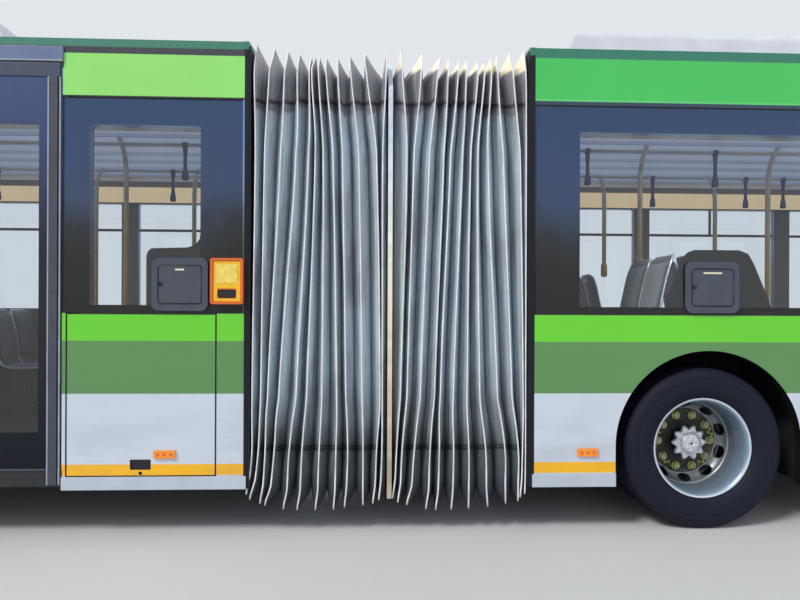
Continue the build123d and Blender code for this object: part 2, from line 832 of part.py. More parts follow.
def seat_pair(x, side, z, drop=0):
    # drop shortens the pedestal, where the pair stands on a wheel box
    points = [(x + px, z + max(0, pz - drop)) for px, pz in seat_profile if pz == 0 or pz > drop]
    shape = prism_y(points, 0, seat_width)
    return Pos(0, side * seat_out_y - (seat_width if side > 0 else 0), 0) * shape


def rows_between(low, high, pitch):
    return [low + pitch * index for index in range(int((high - low) / pitch) + 1)]


behind_box_row = middle_axle_x + 1089
left_rows = rows_between(behind_box_row, front_axle_x - 1765, row_pitch)
right_rows = [behind_box_row, middle_door_x + door_width + 350]
front_seats = [seat_pair(x, 1, floor_z) for x in left_rows]
front_seats += [seat_pair(x, -1, floor_z) for x in right_rows]
front_seats += [seat_pair(middle_axle_x + offset, side, well_top_z + liner, box_drop)
                for offset in box_seats for side in (1, -1)]
driver_x = front_axle_x + 1295
driver_y = half_width - 575
driver_width = 480
driver_base = 400
driver_step = 130
driver_seat = Pos(0, driver_y - driver_width / 2, 0) * prism_y(
    [(driver_x + px, floor_z + driver_step + pz) for px, pz in seat_profile], 0, driver_width)
driver_seat += block(driver_x, driver_x + driver_base, driver_y - driver_width / 2,
                     driver_y + driver_width / 2, floor_z, floor_z + driver_step)
save("front_seats", *front_seats, driver_seat)
low_rows = rows_between(drive_axle_x + 795, rear_body_x - 990, rear_row_pitch)
podium_rows = rows_between(tail_body_x + 330, podium_x - 590, rear_row_pitch)
rear_seats = [seat_pair(x, 1, floor_z) for x in low_rows]
rear_seats += [seat_pair(drive_axle_x + offset, side, well_top_z + liner, box_drop)
               for offset in box_seats for side in (1, -1)]
rear_seats += [seat_pair(x, side, podium_z) for x in podium_rows for side in (1, -1)]
save("rear_seats", *rear_seats)

# Handrails: posts from floor to ceiling, with a rail from post to post along each side
post_radius = 17
post_y = 300
rail_height = 2300
front_posts = 6
rear_posts = 3


def handrails(x0, x1, count):
    pitch = (x1 - x0) / (count - 1)
    shapes = []
    for side in (1, -1):
        for index in range(count):
            x = x0 + pitch * index
            shapes.append(rod_z(x, side * post_y, floor_z, ceiling_z, post_radius))
            if index:
                shapes.append(rod_x(x - pitch + post_radius + seat_gap, x - post_radius - seat_gap,
                                    side * post_y, rail_height, post_radius))
    return shapes


save("front_handrails", *handrails(front_body_x + 1019, front_axle_x - 765, front_posts))
save("rear_handrails", *handrails(podium_x + 200, rear_body_x - 1049, rear_posts))

# Driver's cab: a partition behind the seat, the dashboard and its wheel, and a door on a hinge
cab_x = front_axle_x + 885
cab_y = 160
cab_high = 2200
cab_thick = 30
cab_door_x0 = cab_x + cab_thick + 40
cab_door_x1 = front_axle_x + 1775
cab_door_high = 1500
dash_x = front_cap_x - 380
cab_post = 20
sleeve_radius = 34
sleeve_high = 60
sleeve_lows = [520, 1320]
hinge_x = cab_x + cab_thick / 2
partition = block(cab_x, cab_x + cab_thick, cab_y, inner_y, floor_z, cab_high)
for low in sleeve_lows:
    partition -= rod_z(hinge_x, cab_y, low - panel_gap, low + sleeve_high + panel_gap,
                       sleeve_radius + panel_gap)
partition += rod_z(hinge_x, cab_y, floor_z, ceiling_z, cab_post)
dash_y = cab_y + 60
dash = prism_y([(dash_x, floor_z), (dash_x, 900), (dash_x - 60, 1010), (front_cap_x + 150, 1050),
                (front_cap_x + 150, floor_z)], dash_y, inner_y - 70)
steering_radius = 238
steering_thick = 26
column_radius = 35
column_long = 230
column_tilt = 25
wheel_rim = Cylinder(steering_radius, steering_thick) - Cylinder(steering_radius - steering_thick, wall)
spoke = Box(2 * steering_radius - steering_thick, steering_thick, steering_thick / 2)
column = Pos(0, 0, -column_long / 2) * Cylinder(column_radius, column_long)
steering = Pos(dash_x - 130, driver_y, 1120) * Rot(0, -column_tilt, 0) * (wheel_rim + spoke + column)
save("cab_fittings", partition, dash + steering)
cab_door = block(cab_door_x0, cab_door_x1, cab_y - cab_thick / 2, cab_y + cab_thick / 2,
                 floor_z + 30, cab_door_high)
for low in sleeve_lows:
    cab_door += block(hinge_x, cab_door_x0, cab_y - cab_thick / 2, cab_y + cab_thick / 2,
                      low, low + sleeve_high)
    cab_door += rod_z(hinge_x, cab_y, low, low + sleeve_high, sleeve_radius)
    cab_door -= rod_z(hinge_x, cab_y, low - 1, low + sleeve_high + 1, cab_post + lid_pin_fit)
save("cab_door", cab_door)

# Lamps: proud of the panels
lamp_proud = 12
marker_long = 120
marker_high = 45
marker_z = 447
front_markers = [front_portal_x + 353, middle_door_x - 550, front_axle_x - 1665]
rear_markers = [rear_body_x - 434, drive_axle_x - 1075]


def markers(places):
    shapes = []
    for x in places:
        lamp = block(x - marker_long / 2, x + marker_long / 2, half_width, half_width + lamp_proud,
                     marker_z, marker_z + marker_high)
        shapes += both_sides(lamp)
    return shapes


def end_lamps(plan_values, table, seat):
    # Rows of the table: inner and outer y, low and high z
    shapes = []
    for y0, y1, z0, z1 in table:
        shapes += both_sides(seat(skin_patch(plan_values, lamp_proud, y0, y1, z0, z1)))
    return shapes


def to_nose(shape):
    return Pos(front_cap_x, 0, 0) * shape


lamp_out = half_width - 95
headlamps = [(lamp_out - 420, lamp_out, 590, 770), (lamp_out - 280, lamp_out - 60, 360, 430)]
tail_lamps = [(lamp_out - 170, lamp_out, 960, 1110), (lamp_out - 170, lamp_out, 1130, 1250),
              (lamp_out - 170, lamp_out, 1270, 1370), (lamp_out - 140, lamp_out - 20, 2560, 2620)]
save("front_lamps", *markers(front_markers), *end_lamps(nose_plan, headlamps, to_nose))
save("rear_lamps", *markers(rear_markers), *end_lamps(tail_plan, tail_lamps, to_tail))

# Service flaps on the window band, and the orange box beside the rear one
flap_low_z = 1283
flap_high_z = 1583
flap_proud = 16
front_flap = [(front_body_x + 888, front_body_x + 1206)]
rear_flap = [(rear_body_x - 506, rear_body_x - 193)]


flap_corner = 40
flap_side = 38
flap_foot = 44
flap_groove = 5
flap_deep = 6
latch_long = 26


def flap(x0, x1):
    # A surround with round corners, in which a fine groove outlines the flap and its latch
    face_y = -half_width - flap_proud
    plate = plate_y(x0, x1, flap_low_z, flap_high_z, flap_corner, face_y, -half_width)
    low_x = x0 + flap_side
    high_x = x1 - flap_side
    low_z = flap_low_z + flap_foot
    high_z = flap_high_z - flap_foot
    outer = plate_y(low_x - flap_groove, high_x + flap_groove, low_z - flap_groove, high_z + flap_groove,
                    flap_corner / 2 + flap_groove, face_y - 1, face_y + flap_deep)
    inner = plate_y(low_x, high_x, low_z, high_z, flap_corner / 2, face_y - 2, face_y + 2 * flap_deep)
    middle_z = (low_z + high_z) / 2
    latch = block(low_x - 1, low_x + latch_long, face_y - 1, face_y + flap_deep,
                  middle_z - latch_long / 2, middle_z + latch_long / 2)
    return plate - (outer - inner) - latch


save("front_flap", *[flap(x0, x1) for x0, x1 in front_flap])
save("rear_flap", *[flap(x0, x1) for x0, x1 in rear_flap])
box_x0 = rear_body_x - 176
box_x1 = rear_body_x + 8
box_low_z = 1322
box_proud = 30
box_corner = 14
box_frame = 13
box_deep = 8
slot_low = 34
slot_high = 84
slot_side = 40
box_y = -half_width - box_proud
wall_box = plate_y(box_x0, box_x1, box_low_z, flap_high_z, box_corner, box_y, -half_width)
wall_box -= plate_y(box_x0 + box_frame, box_x1 - box_frame, box_low_z + box_frame,
                    flap_high_z - box_frame, box_corner / 2, box_y - 1, box_y + box_deep)
wall_box -= plate_y(box_x0 + slot_side, box_x1 - slot_side, box_low_z + slot_low, box_low_z + slot_high,
                    box_corner, box_y - 1, box_y + box_proud / 2)
save("wall_box", wall_box)

# Mirrors: an arm and a case on each side of the front end
mirror_back = 30
mirror_reach = 160
mirror_root_x = front_cap_x + mirror_back
mirror_x = mirror_root_x + mirror_reach
mirror_deep = 90
mirror_bar = 40
mirror_in = 25
mirror_out = 240
mirror_low_z = 1750
mirror_high_z = 2150
mirror_arm = block(mirror_root_x, mirror_x + mirror_deep, half_width, half_width + mirror_bar,
                   mirror_high_z, mirror_high_z + mirror_bar)
mirror_arm += block(mirror_x + mirror_deep - mirror_bar, mirror_x + mirror_deep, half_width,
                    half_width + mirror_out - mirror_in, mirror_high_z, mirror_high_z + mirror_bar)
mirror_case = block(mirror_x, mirror_x + mirror_deep, half_width + mirror_in, half_width + mirror_out,
                    mirror_low_z, mirror_high_z)
save("mirrors", *both_sides(mirror_case + mirror_arm))
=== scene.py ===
import bpy
import bmesh
import json
import random
from math import cos, pi, radians, sin
from mathutils import Matrix, Vector
from mathutils.bvhtree import BVHTree


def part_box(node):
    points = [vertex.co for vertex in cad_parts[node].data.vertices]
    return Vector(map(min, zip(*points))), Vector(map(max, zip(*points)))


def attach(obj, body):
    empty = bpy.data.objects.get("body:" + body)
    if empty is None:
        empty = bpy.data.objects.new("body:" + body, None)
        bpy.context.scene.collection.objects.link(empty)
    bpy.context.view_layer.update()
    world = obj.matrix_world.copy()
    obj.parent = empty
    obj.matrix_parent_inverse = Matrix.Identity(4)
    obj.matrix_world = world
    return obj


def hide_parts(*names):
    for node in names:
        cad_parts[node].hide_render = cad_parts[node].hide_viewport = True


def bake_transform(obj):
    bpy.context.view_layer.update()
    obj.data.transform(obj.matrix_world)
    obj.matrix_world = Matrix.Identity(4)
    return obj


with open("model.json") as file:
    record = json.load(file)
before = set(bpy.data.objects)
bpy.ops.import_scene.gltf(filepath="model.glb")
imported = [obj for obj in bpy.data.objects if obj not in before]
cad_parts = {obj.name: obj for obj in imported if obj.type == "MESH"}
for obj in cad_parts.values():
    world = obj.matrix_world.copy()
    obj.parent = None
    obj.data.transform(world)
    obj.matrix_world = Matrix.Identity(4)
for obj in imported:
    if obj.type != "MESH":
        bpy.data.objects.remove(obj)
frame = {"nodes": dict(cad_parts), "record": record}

scene = bpy.context.scene
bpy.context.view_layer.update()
nodes = frame["nodes"]
print("frame loaded:", len(nodes), "nodes")

# helpers for materials; they work on the tree that was opened last
work = {}


def rgb(*parts):
    # a colour as a paint chart gives it, 0 to 255, turned linear
    parts = [part / 255 for part in parts]
    linear = [part / 12.92 if part <= 0.04045 else ((part + 0.055) / 1.055) ** 2.4 for part in parts]
    return (*linear, 1.0)


def feed(socket, value):
    # a socket takes a link or a plain value
    if hasattr(value, "links"):
        work["tree"].links.new(value, socket)
    else:
        socket.default_value = value


def addNode(kind, **inputs):
    node = work["tree"].nodes.new(kind)
    for label, value in inputs.items():
        feed(node.inputs[label], value)
    return node


def give(label, value):
    feed(work["shader"].inputs[label], value)


def newMaterial(name, roughness=0.5, metallic=0.0, coat=0.0, specular=0.5):
    material = bpy.data.materials.new(name)
    material.use_nodes = True
    work["tree"] = material.node_tree
    work["shader"] = material.node_tree.nodes["Principled BSDF"]
    for label, value in [("Roughness", roughness), ("Metallic", metallic), ("Coat Weight", coat),
                         ("Coat Roughness", 0.08), ("Specular IOR Level", specular)]:
        give(label, value)
    return material


def maths(operation):
    # a function that chains math nodes from left to right
    def run(first, *rest):
        for value in rest or (0.0,):
            node = addNode("ShaderNodeMath")
            node.operation = operation
            feed(node.inputs[0], first)
            feed(node.inputs[1], value)
            first = node.outputs[0]
        return first
    return run


plus, minus, times, over = [maths(word) for word in ("ADD", "SUBTRACT", "MULTIPLY", "DIVIDE")]
above, below, most, least = [maths(word) for word in ("GREATER_THAN", "LESS_THAN", "MAXIMUM", "MINIMUM")]
size, root, power, wave, fraction = [maths(word) for word in ("ABSOLUTE", "SQRT", "POWER", "SINE", "FRACT")]


def between(value, low, high):
    return times(above(value, low), below(value, high))


def spot(*scale):
    # object coordinates, scaled
    place = addNode("ShaderNodeTexCoord").outputs["Object"]
    return addNode("ShaderNodeMapping", Vector=place, Scale=scale or (1, 1, 1)).outputs["Vector"]


def axes(point):
    return addNode("ShaderNodeSeparateXYZ", Vector=point).outputs


def noise(point, scale, detail=4.0, rough=0.55):
    # point: coordinates, or the stretch of the object's own
    point = spot(*point) if isinstance(point, tuple) else point
    return addNode("ShaderNodeTexNoise", Vector=point, Scale=scale, Detail=detail,
                   Roughness=rough).outputs["Fac"]


def ramp(value, *stops, steps=False):
    # each stop: place, and a grey level or a colour
    node = addNode("ShaderNodeValToRGB", Fac=value)
    node.color_ramp.interpolation = "CONSTANT" if steps else "LINEAR"
    while len(node.color_ramp.elements) < len(stops):
        node.color_ramp.elements.new(0.5)
    for element, (place, shade) in zip(node.color_ramp.elements, stops):
        element.position = place
    for element, (place, shade) in zip(node.color_ramp.elements, stops):
        element.color = shade if isinstance(shade, tuple) else (shade, shade, shade, 1)
    return node.outputs[0]


def mix(factor, first, second, mode="MIX"):
    node = addNode("ShaderNodeMix")
    node.data_type = "RGBA"
    node.blend_type = mode
    for label, value in (("Factor", factor), ("A", first), ("B", second)):
        feed(node.inputs[label], value)
    return node.outputs["Result"]


def choose(factor, first, second):
    node = addNode("ShaderNodeMixShader")
    for socket, value in zip(node.inputs, (factor, first, second)):
        feed(socket, value)
    return node.outputs[0]


def bump(height, strength, distance):
    give("Normal", addNode("ShaderNodeBump", Strength=strength, Distance=distance, Height=height).outputs[0])


def gloss(value, low, smooth, high, matt):
    give("Roughness", ramp(value, (low, smooth), (high, matt)))


def wear(colour, mottle, rough, grain=(220, 0.05, 0.0006)):
    # cloudy colour, uneven gloss and a fine grain on any finish
    point = spot()
    cloud = ramp(noise(point, mottle[0], 5), (0.3, 1 - mottle[1]), (0.7, 1.0))
    give("Base Color", mix(1.0, colour, cloud, "MULTIPLY"))
    gloss(noise(point, mottle[0] * 3, 6), 0.3, rough[0], 0.7, rough[1])
    bump(noise(point, grain[0], 3), grain[1], grain[2])


def plainFinish(name, colour, roughness=0.5, metallic=0.0, coat=0.0, mottle=(6, 0.12),
                grain=(120, 0.03, 0.0004), specular=0.5):
    material = newMaterial(name, roughness, metallic, coat, specular)
    wear(rgb(*colour), mottle, (max(0.02, roughness - 0.06), roughness + 0.08), grain)
    return material


# bodywork paint: bands by height; all heights are in metres above the ground
paint = {
    "skirt": rgb(200, 211, 224), "amber": rgb(255, 190, 0), "white": rgb(208, 219, 234),
    "darkGreen": rgb(92, 144, 84), "brightGreen": rgb(104, 214, 40), "lime": rgb(148, 230, 112),
    "frontGreen": rgb(66, 200, 92), "glazing": rgb(22, 27, 38), "gutter": rgb(50, 53, 64),
    # the rail's pale top line is a painted highlight
    "rail": rgb(52, 124, 104), "railTop": rgb(150, 196, 182), "roof": rgb(206, 209, 208),
    "lining": rgb(78, 70, 66), "cove": rgb(255, 226, 176), "trim": rgb(46, 48, 54),
    "limeEdge": rgb(226, 240, 220), "greenEdge": rgb(96, 208, 118), "dust": rgb(120, 116, 108),
}
tallest, waist, railFoot, railTop, roofFoot = 3.2, 1.268, 2.762, 2.813, 2.8202
rearGlassTop, frontGlassTop, coveFoot, coveTop = 2.490, 2.512, 2.345, 2.6
innerSide, innerTail, slatsPerMetre = 1.2165, -8.925, 4.2
tailEdge, headFoot, rearRailFoot, roofEdge, ceilingTop = -8.812, 2.4922, 2.772, 1.268, 2.62
# X where the tail and the nose begin
tailFrom, noseFrom = -8.6, 8.4
lowBands = [(0.0, "skirt"), (0.345, "amber"), (0.404, "white"), (0.812, "darkGreen"), (1.112, "brightGreen")]
rearBands = lowBands + [(waist, "glazing"), (rearGlassTop, "limeEdge"), (2.498, "lime"), (2.727, "limeEdge"),
                        (2.733, "gutter"), (rearRailFoot, "rail"), (roofFoot, "roof")]
frontBands = lowBands + [(waist, "glazing"), (frontGlassTop, "greenEdge"), (2.517, "frontGreen"),
                         (railFoot, "rail"), (roofFoot, "roof")]
noseBands = lowBands + [(waist, "white"), (2.517, "frontGreen"), (railFoot, "rail"), (roofFoot, "roof")]
# dark glazing: a painted reflection, its tone at each height, paler towards the top
wallReflection = [(1.20, rgb(60, 58, 54)), (1.58, rgb(74, 72, 66)), (1.74, rgb(92, 98, 112)),
             (1.92, rgb(124, 146, 196)), (2.25, rgb(108, 146, 204)), (2.70, rgb(92, 140, 194))]
doorReflection = [(0.30, rgb(10, 13, 30)), (0.60, rgb(22, 25, 36)), (1.20, rgb(40, 40, 44)),
             (1.62, rgb(40, 44, 54)), (1.95, rgb(58, 66, 92)), (2.25, rgb(66, 80, 118)),
             (2.75, rgb(78, 94, 136))]


def byHeight(z, stops, steps=False):
    # stops in metres above the ground
    return ramp(over(z, tallest), *[(low / tallest, shade) for low, shade in stops], steps=steps)


def banded(z, bands):
    return byHeight(z, [(low, paint[shade]) for low, shade in bands], True)


def glazingReflection(z, stops):
    # painted reflection: a tone by height, moved about by soft blotches and fine streaks
    drift = times(minus(noise((1.4, 1, 0.6), 1.1, 6, 0.62), 0.5), 0.7)
    fine = times(minus(noise((16, 1, 5), 1.0, 5, 0.75), 0.5), 0.22)
    return byHeight(plus(z, drift, fine), stops)


def darkGlass(name):
    # black-edged glass of doors and window surrounds, its tone by height a painted reflection
    material = newMaterial(name, 0.16, specular=0.22)
    give("Base Color", glazingReflection(axes(spot())[2], doorReflection))
    gloss(noise((1, 1, 0.5), 6, 5), 0.3, 0.1, 0.8, 0.24)
    return material


def roadDust(tone, z, stretch, reach, smooth, matt):
    dust = noise(stretch, 3.0, 6, 0.6)
    low = ramp(over(z, tallest), (0.08, 1), (reach, 0))
    gloss(dust, 0.3, smooth, 0.75, matt)
    return mix(times(ramp(dust, (0.42, 0), (0.75, 0.35)), low), tone, paint["dust"])


def circle(across, up, radius):
    return below(root(plus(power(size(across), 2.0), power(up, 2.0))), radius)


archRadius = {"drive": 0.557, "middle": 0.557, "front": 0.58}
archAhead, archZ = 0.008, 0.504
axleX = {}
for axle in ("front", "middle", "drive"):
    low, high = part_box(f"{axle}_tyre_left")
    axleX[axle] = (low[0] + high[0]) / 2
lidLow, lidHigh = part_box("side_lid")


def bandedPaint(name, bands, axles):
    material = newMaterial(name, 0.32, coat=0.35)
    x, y, z = axes(spot())
    outside = roadDust(banded(z, bands), z, (0.7, 1, 2.5), 0.32, 0.26, 0.42)
    cloud = ramp(noise((1, 1, 1), 1.3, 4), (0.3, 0.93), (0.7, 1.0))
    outside = mix(1.0, outside, cloud, "MULTIPLY")
    glazingTop = frontGlassTop if bands is frontBands else rearGlassTop
    glazed = between(z, waist, glazingTop)
    # painted reflection on the wall behind the glass
    outside = mix(glazed, outside, glazingReflection(z, wallReflection))
    outside = mix(times(glazed, below(x, tailEdge)), outside, rgb(30, 33, 40))
    # the strip above the front pane takes a dimmed painted reflection tone
    outside = mix(between(z, headFoot, glazingTop), outside, rgb(40, 60, 84))
    # painted highlight along the top of the rail
    outside = mix(between(z, railTop, roofFoot), outside, paint["railTop"])
    # the cut edge of each wheel arch: round above its middle, upright below
    for axle in axles:
        arch = circle(minus(x, axleX[axle] + archAhead), most(minus(z, archZ), 0.0), archRadius[axle] + 0.0006)
        outside = mix(arch, outside, rgb(24, 25, 28))
    # behind the side lid, and its inner face
    if bands is rearBands:
        recess = times(between(x, lidLow[0], lidHigh[0]), between(z, lidLow[2] - 0.006, waist),
                       above(y, -1.2735), below(y, -1.2))
        outside = mix(recess, outside, rgb(74, 78, 84))
    # linings: cove above the windows, pale panels below them
    lining = banded(z, [(0.0, "trim"), (0.36, "lining"), (2.3, "trim"), (coveFoot, "cove"),
                        (rearGlassTop, "lining")])
    inside = times(below(size(y), innerSide), above(x, innerTail))
    # painted light: the cove band and the lining just above it glow a little, though they are no lamp
    give("Emission Color", lining)
    give("Emission Strength", times(inside, between(z, coveFoot, coveTop), 0.36))
    give("Base Color", mix(inside, outside, lining))
    bump(noise((0.5, 1, 1.4), 1.6, 2), 0.35, 0.007)
    return material


rearPaint = bandedPaint("rearPaint", rearBands, ["drive"])
frontPaint = bandedPaint("frontPaint", frontBands, ["middle", "front"])


def roofPaint(name):
    # pale outside with dust, slatted ceiling underneath which glows a little: painted light, it is no lamp
    material = newMaterial(name, 0.5)
    y, z = axes(spot())[1:]
    dust = noise((0.6, 2, 1), 2.2, 6, 0.65)
    outside = ramp(dust, (0.3, rgb(190, 192, 190)), (0.55, rgb(212, 214, 214)), (0.8, rgb(176, 174, 168)))
    outside = mix(times(above(size(y), roofEdge), above(z, rearRailFoot)), outside, paint["rail"])
    ceiling = ramp(fraction(times(y, slatsPerMetre)), (0.0, rgb(112, 130, 176)), (0.07, rgb(206, 222, 255)),
                   (0.5, rgb(196, 212, 250)), (0.56, rgb(226, 238, 255)), (0.64, rgb(176, 194, 236)), steps=True)
    under = below(z, ceilingTop)
    give("Emission Color", ceiling)
    give("Emission Strength", times(under, 0.22))
    give("Base Color", mix(under, outside, ceiling))
    bump(noise((1, 1, 1), 90, 3), 0.12, 0.001)
    gloss(dust, 0.3, 0.4, 0.75, 0.6)
    return material


def glassFinish(name, tint):
    # light passes straight through to the cabin, so the seats are lit as behind a thin pane
    material = newMaterial(name, 0.0)
    give("Base Color", tint)
    give("Transmission Weight", 1.0)
    give("IOR", 1.45)
    clear = addNode("ShaderNodeBsdfTransparent", Color=tint).outputs[0]
    surface = choose(addNode("ShaderNodeLightPath").outputs["Is Shadow Ray"], work["shader"].outputs[0], clear)
    feed(work["tree"].nodes["Material Output"].inputs["Surface"], surface)
    gloss(noise((1, 1, 0.4), 3, 4), 0.3, 0.0, 0.8, 0.008)
    return material


def rimFinish(name):
    material = newMaterial(name, 0.36, 0.5)
    # painted shade and highlight: the barrel darker towards the vehicle, paler and bluer towards the outer lip
    depth = ramp(minus(size(axes(spot())[1]), 0.9), (0.06, rgb(112, 114, 117)), (0.10, rgb(124, 127, 131)),
                 (0.15, rgb(118, 128, 138)), (0.24, rgb(124, 143, 163)), (0.3, rgb(157, 180, 205)))
    streaks = noise((5, 9, 5), 1.0, 6, 0.65)
    depth = mix(ramp(streaks, (0.5, 0), (0.7, 0.6)), depth, rgb(104, 106, 106))
    spots = noise((1, 1, 1), 46, 5, 0.7)
    give("Base Color", mix(ramp(spots, (0.62, 0), (0.72, 0.5)), depth, rgb(92, 84, 74)))
    gloss(streaks, 0.3, 0.28, 0.7, 0.5)
    bump(streaks, 0.12, 0.004)
    return material


# the blank display over the windscreen, and the frame round it: half widths and the heights of its edges
display = {"half": 0.862, "foot": 2.383, "head": 2.662, "frameWide": 0.875, "frameNarrow": 0.861,
           "frameLevels": (2.371, 2.384, 2.662, 2.676)}


def nosePaint(name):
    material = newMaterial(name, 0.3, coat=0.35)
    y, z = axes(spot())[1:]
    blank = times(below(size(y), display["half"]), between(z, display["foot"], display["head"]))
    tone = mix(blank, banded(z, noseBands), rgb(18, 19, 22))
    give("Base Color", roadDust(tone, z, (1, 0.8, 2.5), 0.3, 0.24, 0.4))
    bump(noise((1, 1, 1), 1.8, 2), 0.3, 0.006)
    return material


def shadedFinish(name, stops, metallic=0.0, coat=0.0, roughness=0.42, mottle=(14, 0.25)):
    # one tone that changes with height; stops as shares of the tallest
    material = newMaterial(name, roughness, metallic, coat)
    z = axes(spot())[2]
    wear(ramp(over(z, tallest), *stops), mottle, (0.34, 0.5))
    return material


# bowls of the headlamps and fog lamps: |y|, height, radius
lampBowls = [(0.86, 0.68, 0.066), (1.04, 0.68, 0.058), (0.95, 0.395, 0.028), (1.06, 0.395, 0.028)]


def lampFinish(name):
    # side markers amber, the nose's lamps clear, the tail's red above amber
    material = newMaterial(name, 0.18, coat=0.6)
    x, y, z = axes(spot())
    red = rgb(216, 30, 24)
    tail = byHeight(z, [(0.0, red), (1.12, rgb(250, 130, 20)), (1.26, rgb(226, 226, 230)), (1.5, red)], True)
    side = mix(noise((1, 1, 1), 40, 2), rgb(255, 160, 30), rgb(255, 128, 16))
    tone = mix(below(x, tailFrom), side, tail)
    lamp = mix(below(z, 0.5), rgb(48, 52, 58), rgb(60, 64, 70))
    for middle, up, radius in lampBowls:
        bowl = circle(minus(size(y), middle), size(minus(z, up)), radius)
        lamp = mix(bowl, lamp, rgb(206, 214, 224))
    give("Base Color", mix(above(x, noseFrom), tone, lamp))
    bump(plus(wave(times(x, 900.0)), wave(times(y, 420.0))), 0.25, 0.0012)
    return material


finishes = {
    "green_paint": frontPaint,
    "white_paint": plainFinish("whitePanels", (214, 219, 230), 0.35, coat=0.3),
    "roof_paint": roofPaint("roofPaint"),
    "dark_metal": plainFinish("darkFrames", (34, 37, 42), 0.42, metallic=0.2),
    "chassis_metal": plainFinish("chassisMetal", (36, 36, 38), 0.75, metallic=0.3, mottle=(9, 0.4)),
    "silver_rim": rimFinish("rimSilver"),
    "glazing": glassFinish("sideGlass", (0.86, 0.9, 0.92, 1)),
    "screen_glass": glassFinish("screenGlass", (0.88, 0.93, 0.9, 1)),
    "portal": plainFinish("portalFrame", (36, 38, 50), 0.5, mottle=(9, 0.25)),
    "tyre_rubber": plainFinish("tyreRubber", (38, 38, 42), 0.72, mottle=(12, 0.35)),
    "bellows_fabric": plainFinish("bellowsPlain", (140, 148, 152), 0.8),
    "hoop_metal": shadedFinish("hoopPale", [(0.1, rgb(196, 180, 160)), (0.3, rgb(236, 222, 198)),
                                            (0.45, rgb(255, 250, 232)), (0.6, rgb(246, 248, 246)),
                                            (0.74, rgb(220, 232, 246))], metallic=0.1),
    "seat_shell": plainFinish("seatShell", (70, 68, 66), 0.6),
    "yellow_tube": plainFinish("ochreTube", (186, 152, 84), 0.42, coat=0.2),
    "black_plastic": plainFinish("blackPlastic", (36, 38, 42), 0.45),
    "orange_box": plainFinish("orangeBox", (232, 108, 24), 0.4, coat=0.2),
    "lamp_lens": plainFinish("amberLens", (235, 110, 30), 0.22, coat=0.6),
    "engine_iron": plainFinish("engineIron", (70, 70, 68), 0.6, metallic=0.6, mottle=(12, 0.4)),
}
doorGlass = darkGlass("doorGlass")
flapGrey = plainFinish("flapGrey", (70, 77, 92), 0.42, mottle=(9, 0.14))
lensFinish = lampFinish("lampLens")
# nodes whose finish isn't their slot's own
special = {"nose": nosePaint("nosePaint"), "middle_hoop": finishes["hoop_metal"]}
for names, finish in [(("rear_wall_left", "rear_wall_right", "side_lid", "tail", "engine_lid"), rearPaint),
                      (("front_portal", "rear_portal"), finishes["portal"]),
                      (("front_door", "middle_door", "rear_door"), doorGlass),
                      (("front_flap", "rear_flap"), flapGrey), (("front_lamps", "rear_lamps"), lensFinish)]:
    for name in names:
        special[name] = finish
slotOf = {row["node"]: row["material_slot"] for row in frame["record"]["subparts"]}
for name, piece in nodes.items():
    finish = finishes.get(slotOf.get(name, ""), finishes["dark_metal"])
    piece.material_slots[0].material = special.get(name, finish)
print("materials on the CAD nodes")


def keep(name, data):
    # an object of the scene
    piece = bpy.data.objects.new(name, data)
    scene.collection.objects.link(piece)
    return piece


def meshObject(name, shape, materials, smooth=True):
    mesh = bpy.data.meshes.new(name)
    shape.to_mesh(mesh)
    shape.free()
    for material in materials:
        mesh.materials.append(material)
    for face in mesh.polygons:
        face.use_smooth = smooth
    return keep(name, mesh)


def solidObject(name, shape, materials, smooth=True):
    bmesh.ops.recalc_face_normals(shape, faces=shape.faces)
    return meshObject(name, shape, materials, smooth)


def join(name, pieces):
    # one mesh from several, with each piece's materials kept
    materials, shape = [], bmesh.new()
    for piece in pieces:
        start = len(shape.faces)
        shape.from_mesh(piece.data)
        shape.faces.ensure_lookup_table()
        for index in range(start, len(shape.faces)):
            shape.faces[index].material_index += len(materials)
        materials += list(piece.data.materials)
    unique = []
    for material in materials:
        if material not in unique:
            unique.append(material)
    for face in shape.faces:
        face.material_index = unique.index(materials[face.material_index])
    smooth = [face.smooth for face in shape.faces]
    result = meshObject(name, shape, unique)
    for face, value in zip(result.data.polygons, smooth):
        face.use_smooth = value
    for piece in pieces:
        bpy.data.objects.remove(piece)
    return result


def addBox(shape, low, high, slot=0, bevel=0.0):
    low, high = Vector(low), Vector(high)
    made = bmesh.ops.create_cube(shape, size=1.0)["verts"]
    for vert in made:
        vert.co = Vector([part * abs(side) for part, side in zip(vert.co, high - low)]) + (low + high) / 2
    faces = {face for vert in made for face in vert.link_faces}
    if bevel:
        for face in faces:
            face.material_index = slot
        edges = {edge for vert in made for edge in vert.link_edges}
        faces = bmesh.ops.bevel(shape, geom=list(edges), offset=bevel, segments=2, affect="EDGES",
                                profile=0.6)["faces"]
    for face in faces:
        face.material_index = slot


def boxPiece(name, boxes, materials, bevel=0.003):
    # boxes: low corner, high corner and, past the first, the number of the material
    shape = bmesh.new()
    for low, high, *slot in boxes:
        addBox(shape, low, high, slot[0] if slot else 0, bevel)
    return meshObject(name, shape, materials, smooth=False)


def facing(node):
    # X from, X to, the outer face on the right, foot and top of a CAD node
    low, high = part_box(node)
    return low[0], high[0], low[1], low[2], high[2]


def onSide(side, x0, x1, y0, y1, z0, z1, slot=0):
    # a box on the left (1) or on the right (-1)
    y0, y1 = sorted((side * y0, side * y1))
    return (x0, y0, z0), (x1, y1, z1), slot


def bridge(shape, here, there, slot=0):
    # a band of faces between two rings
    for index in range(len(here)):
        after = (index + 1) % len(here)
        shape.faces.new((here[index], here[after], there[after], there[index])).material_index = slot


def closeEnds(shape, first, last, slot=0):
    for ring in (list(reversed(first)), last):
        shape.faces.new(ring).material_index = slot


def shares(steps):
    # from 0 to 1 in equal steps
    return [step / steps for step in range(steps + 1)]


def turns(count, shift=0.0):
    # angles round a circle
    return [2 * pi * (index + shift) / count for index in range(count)]


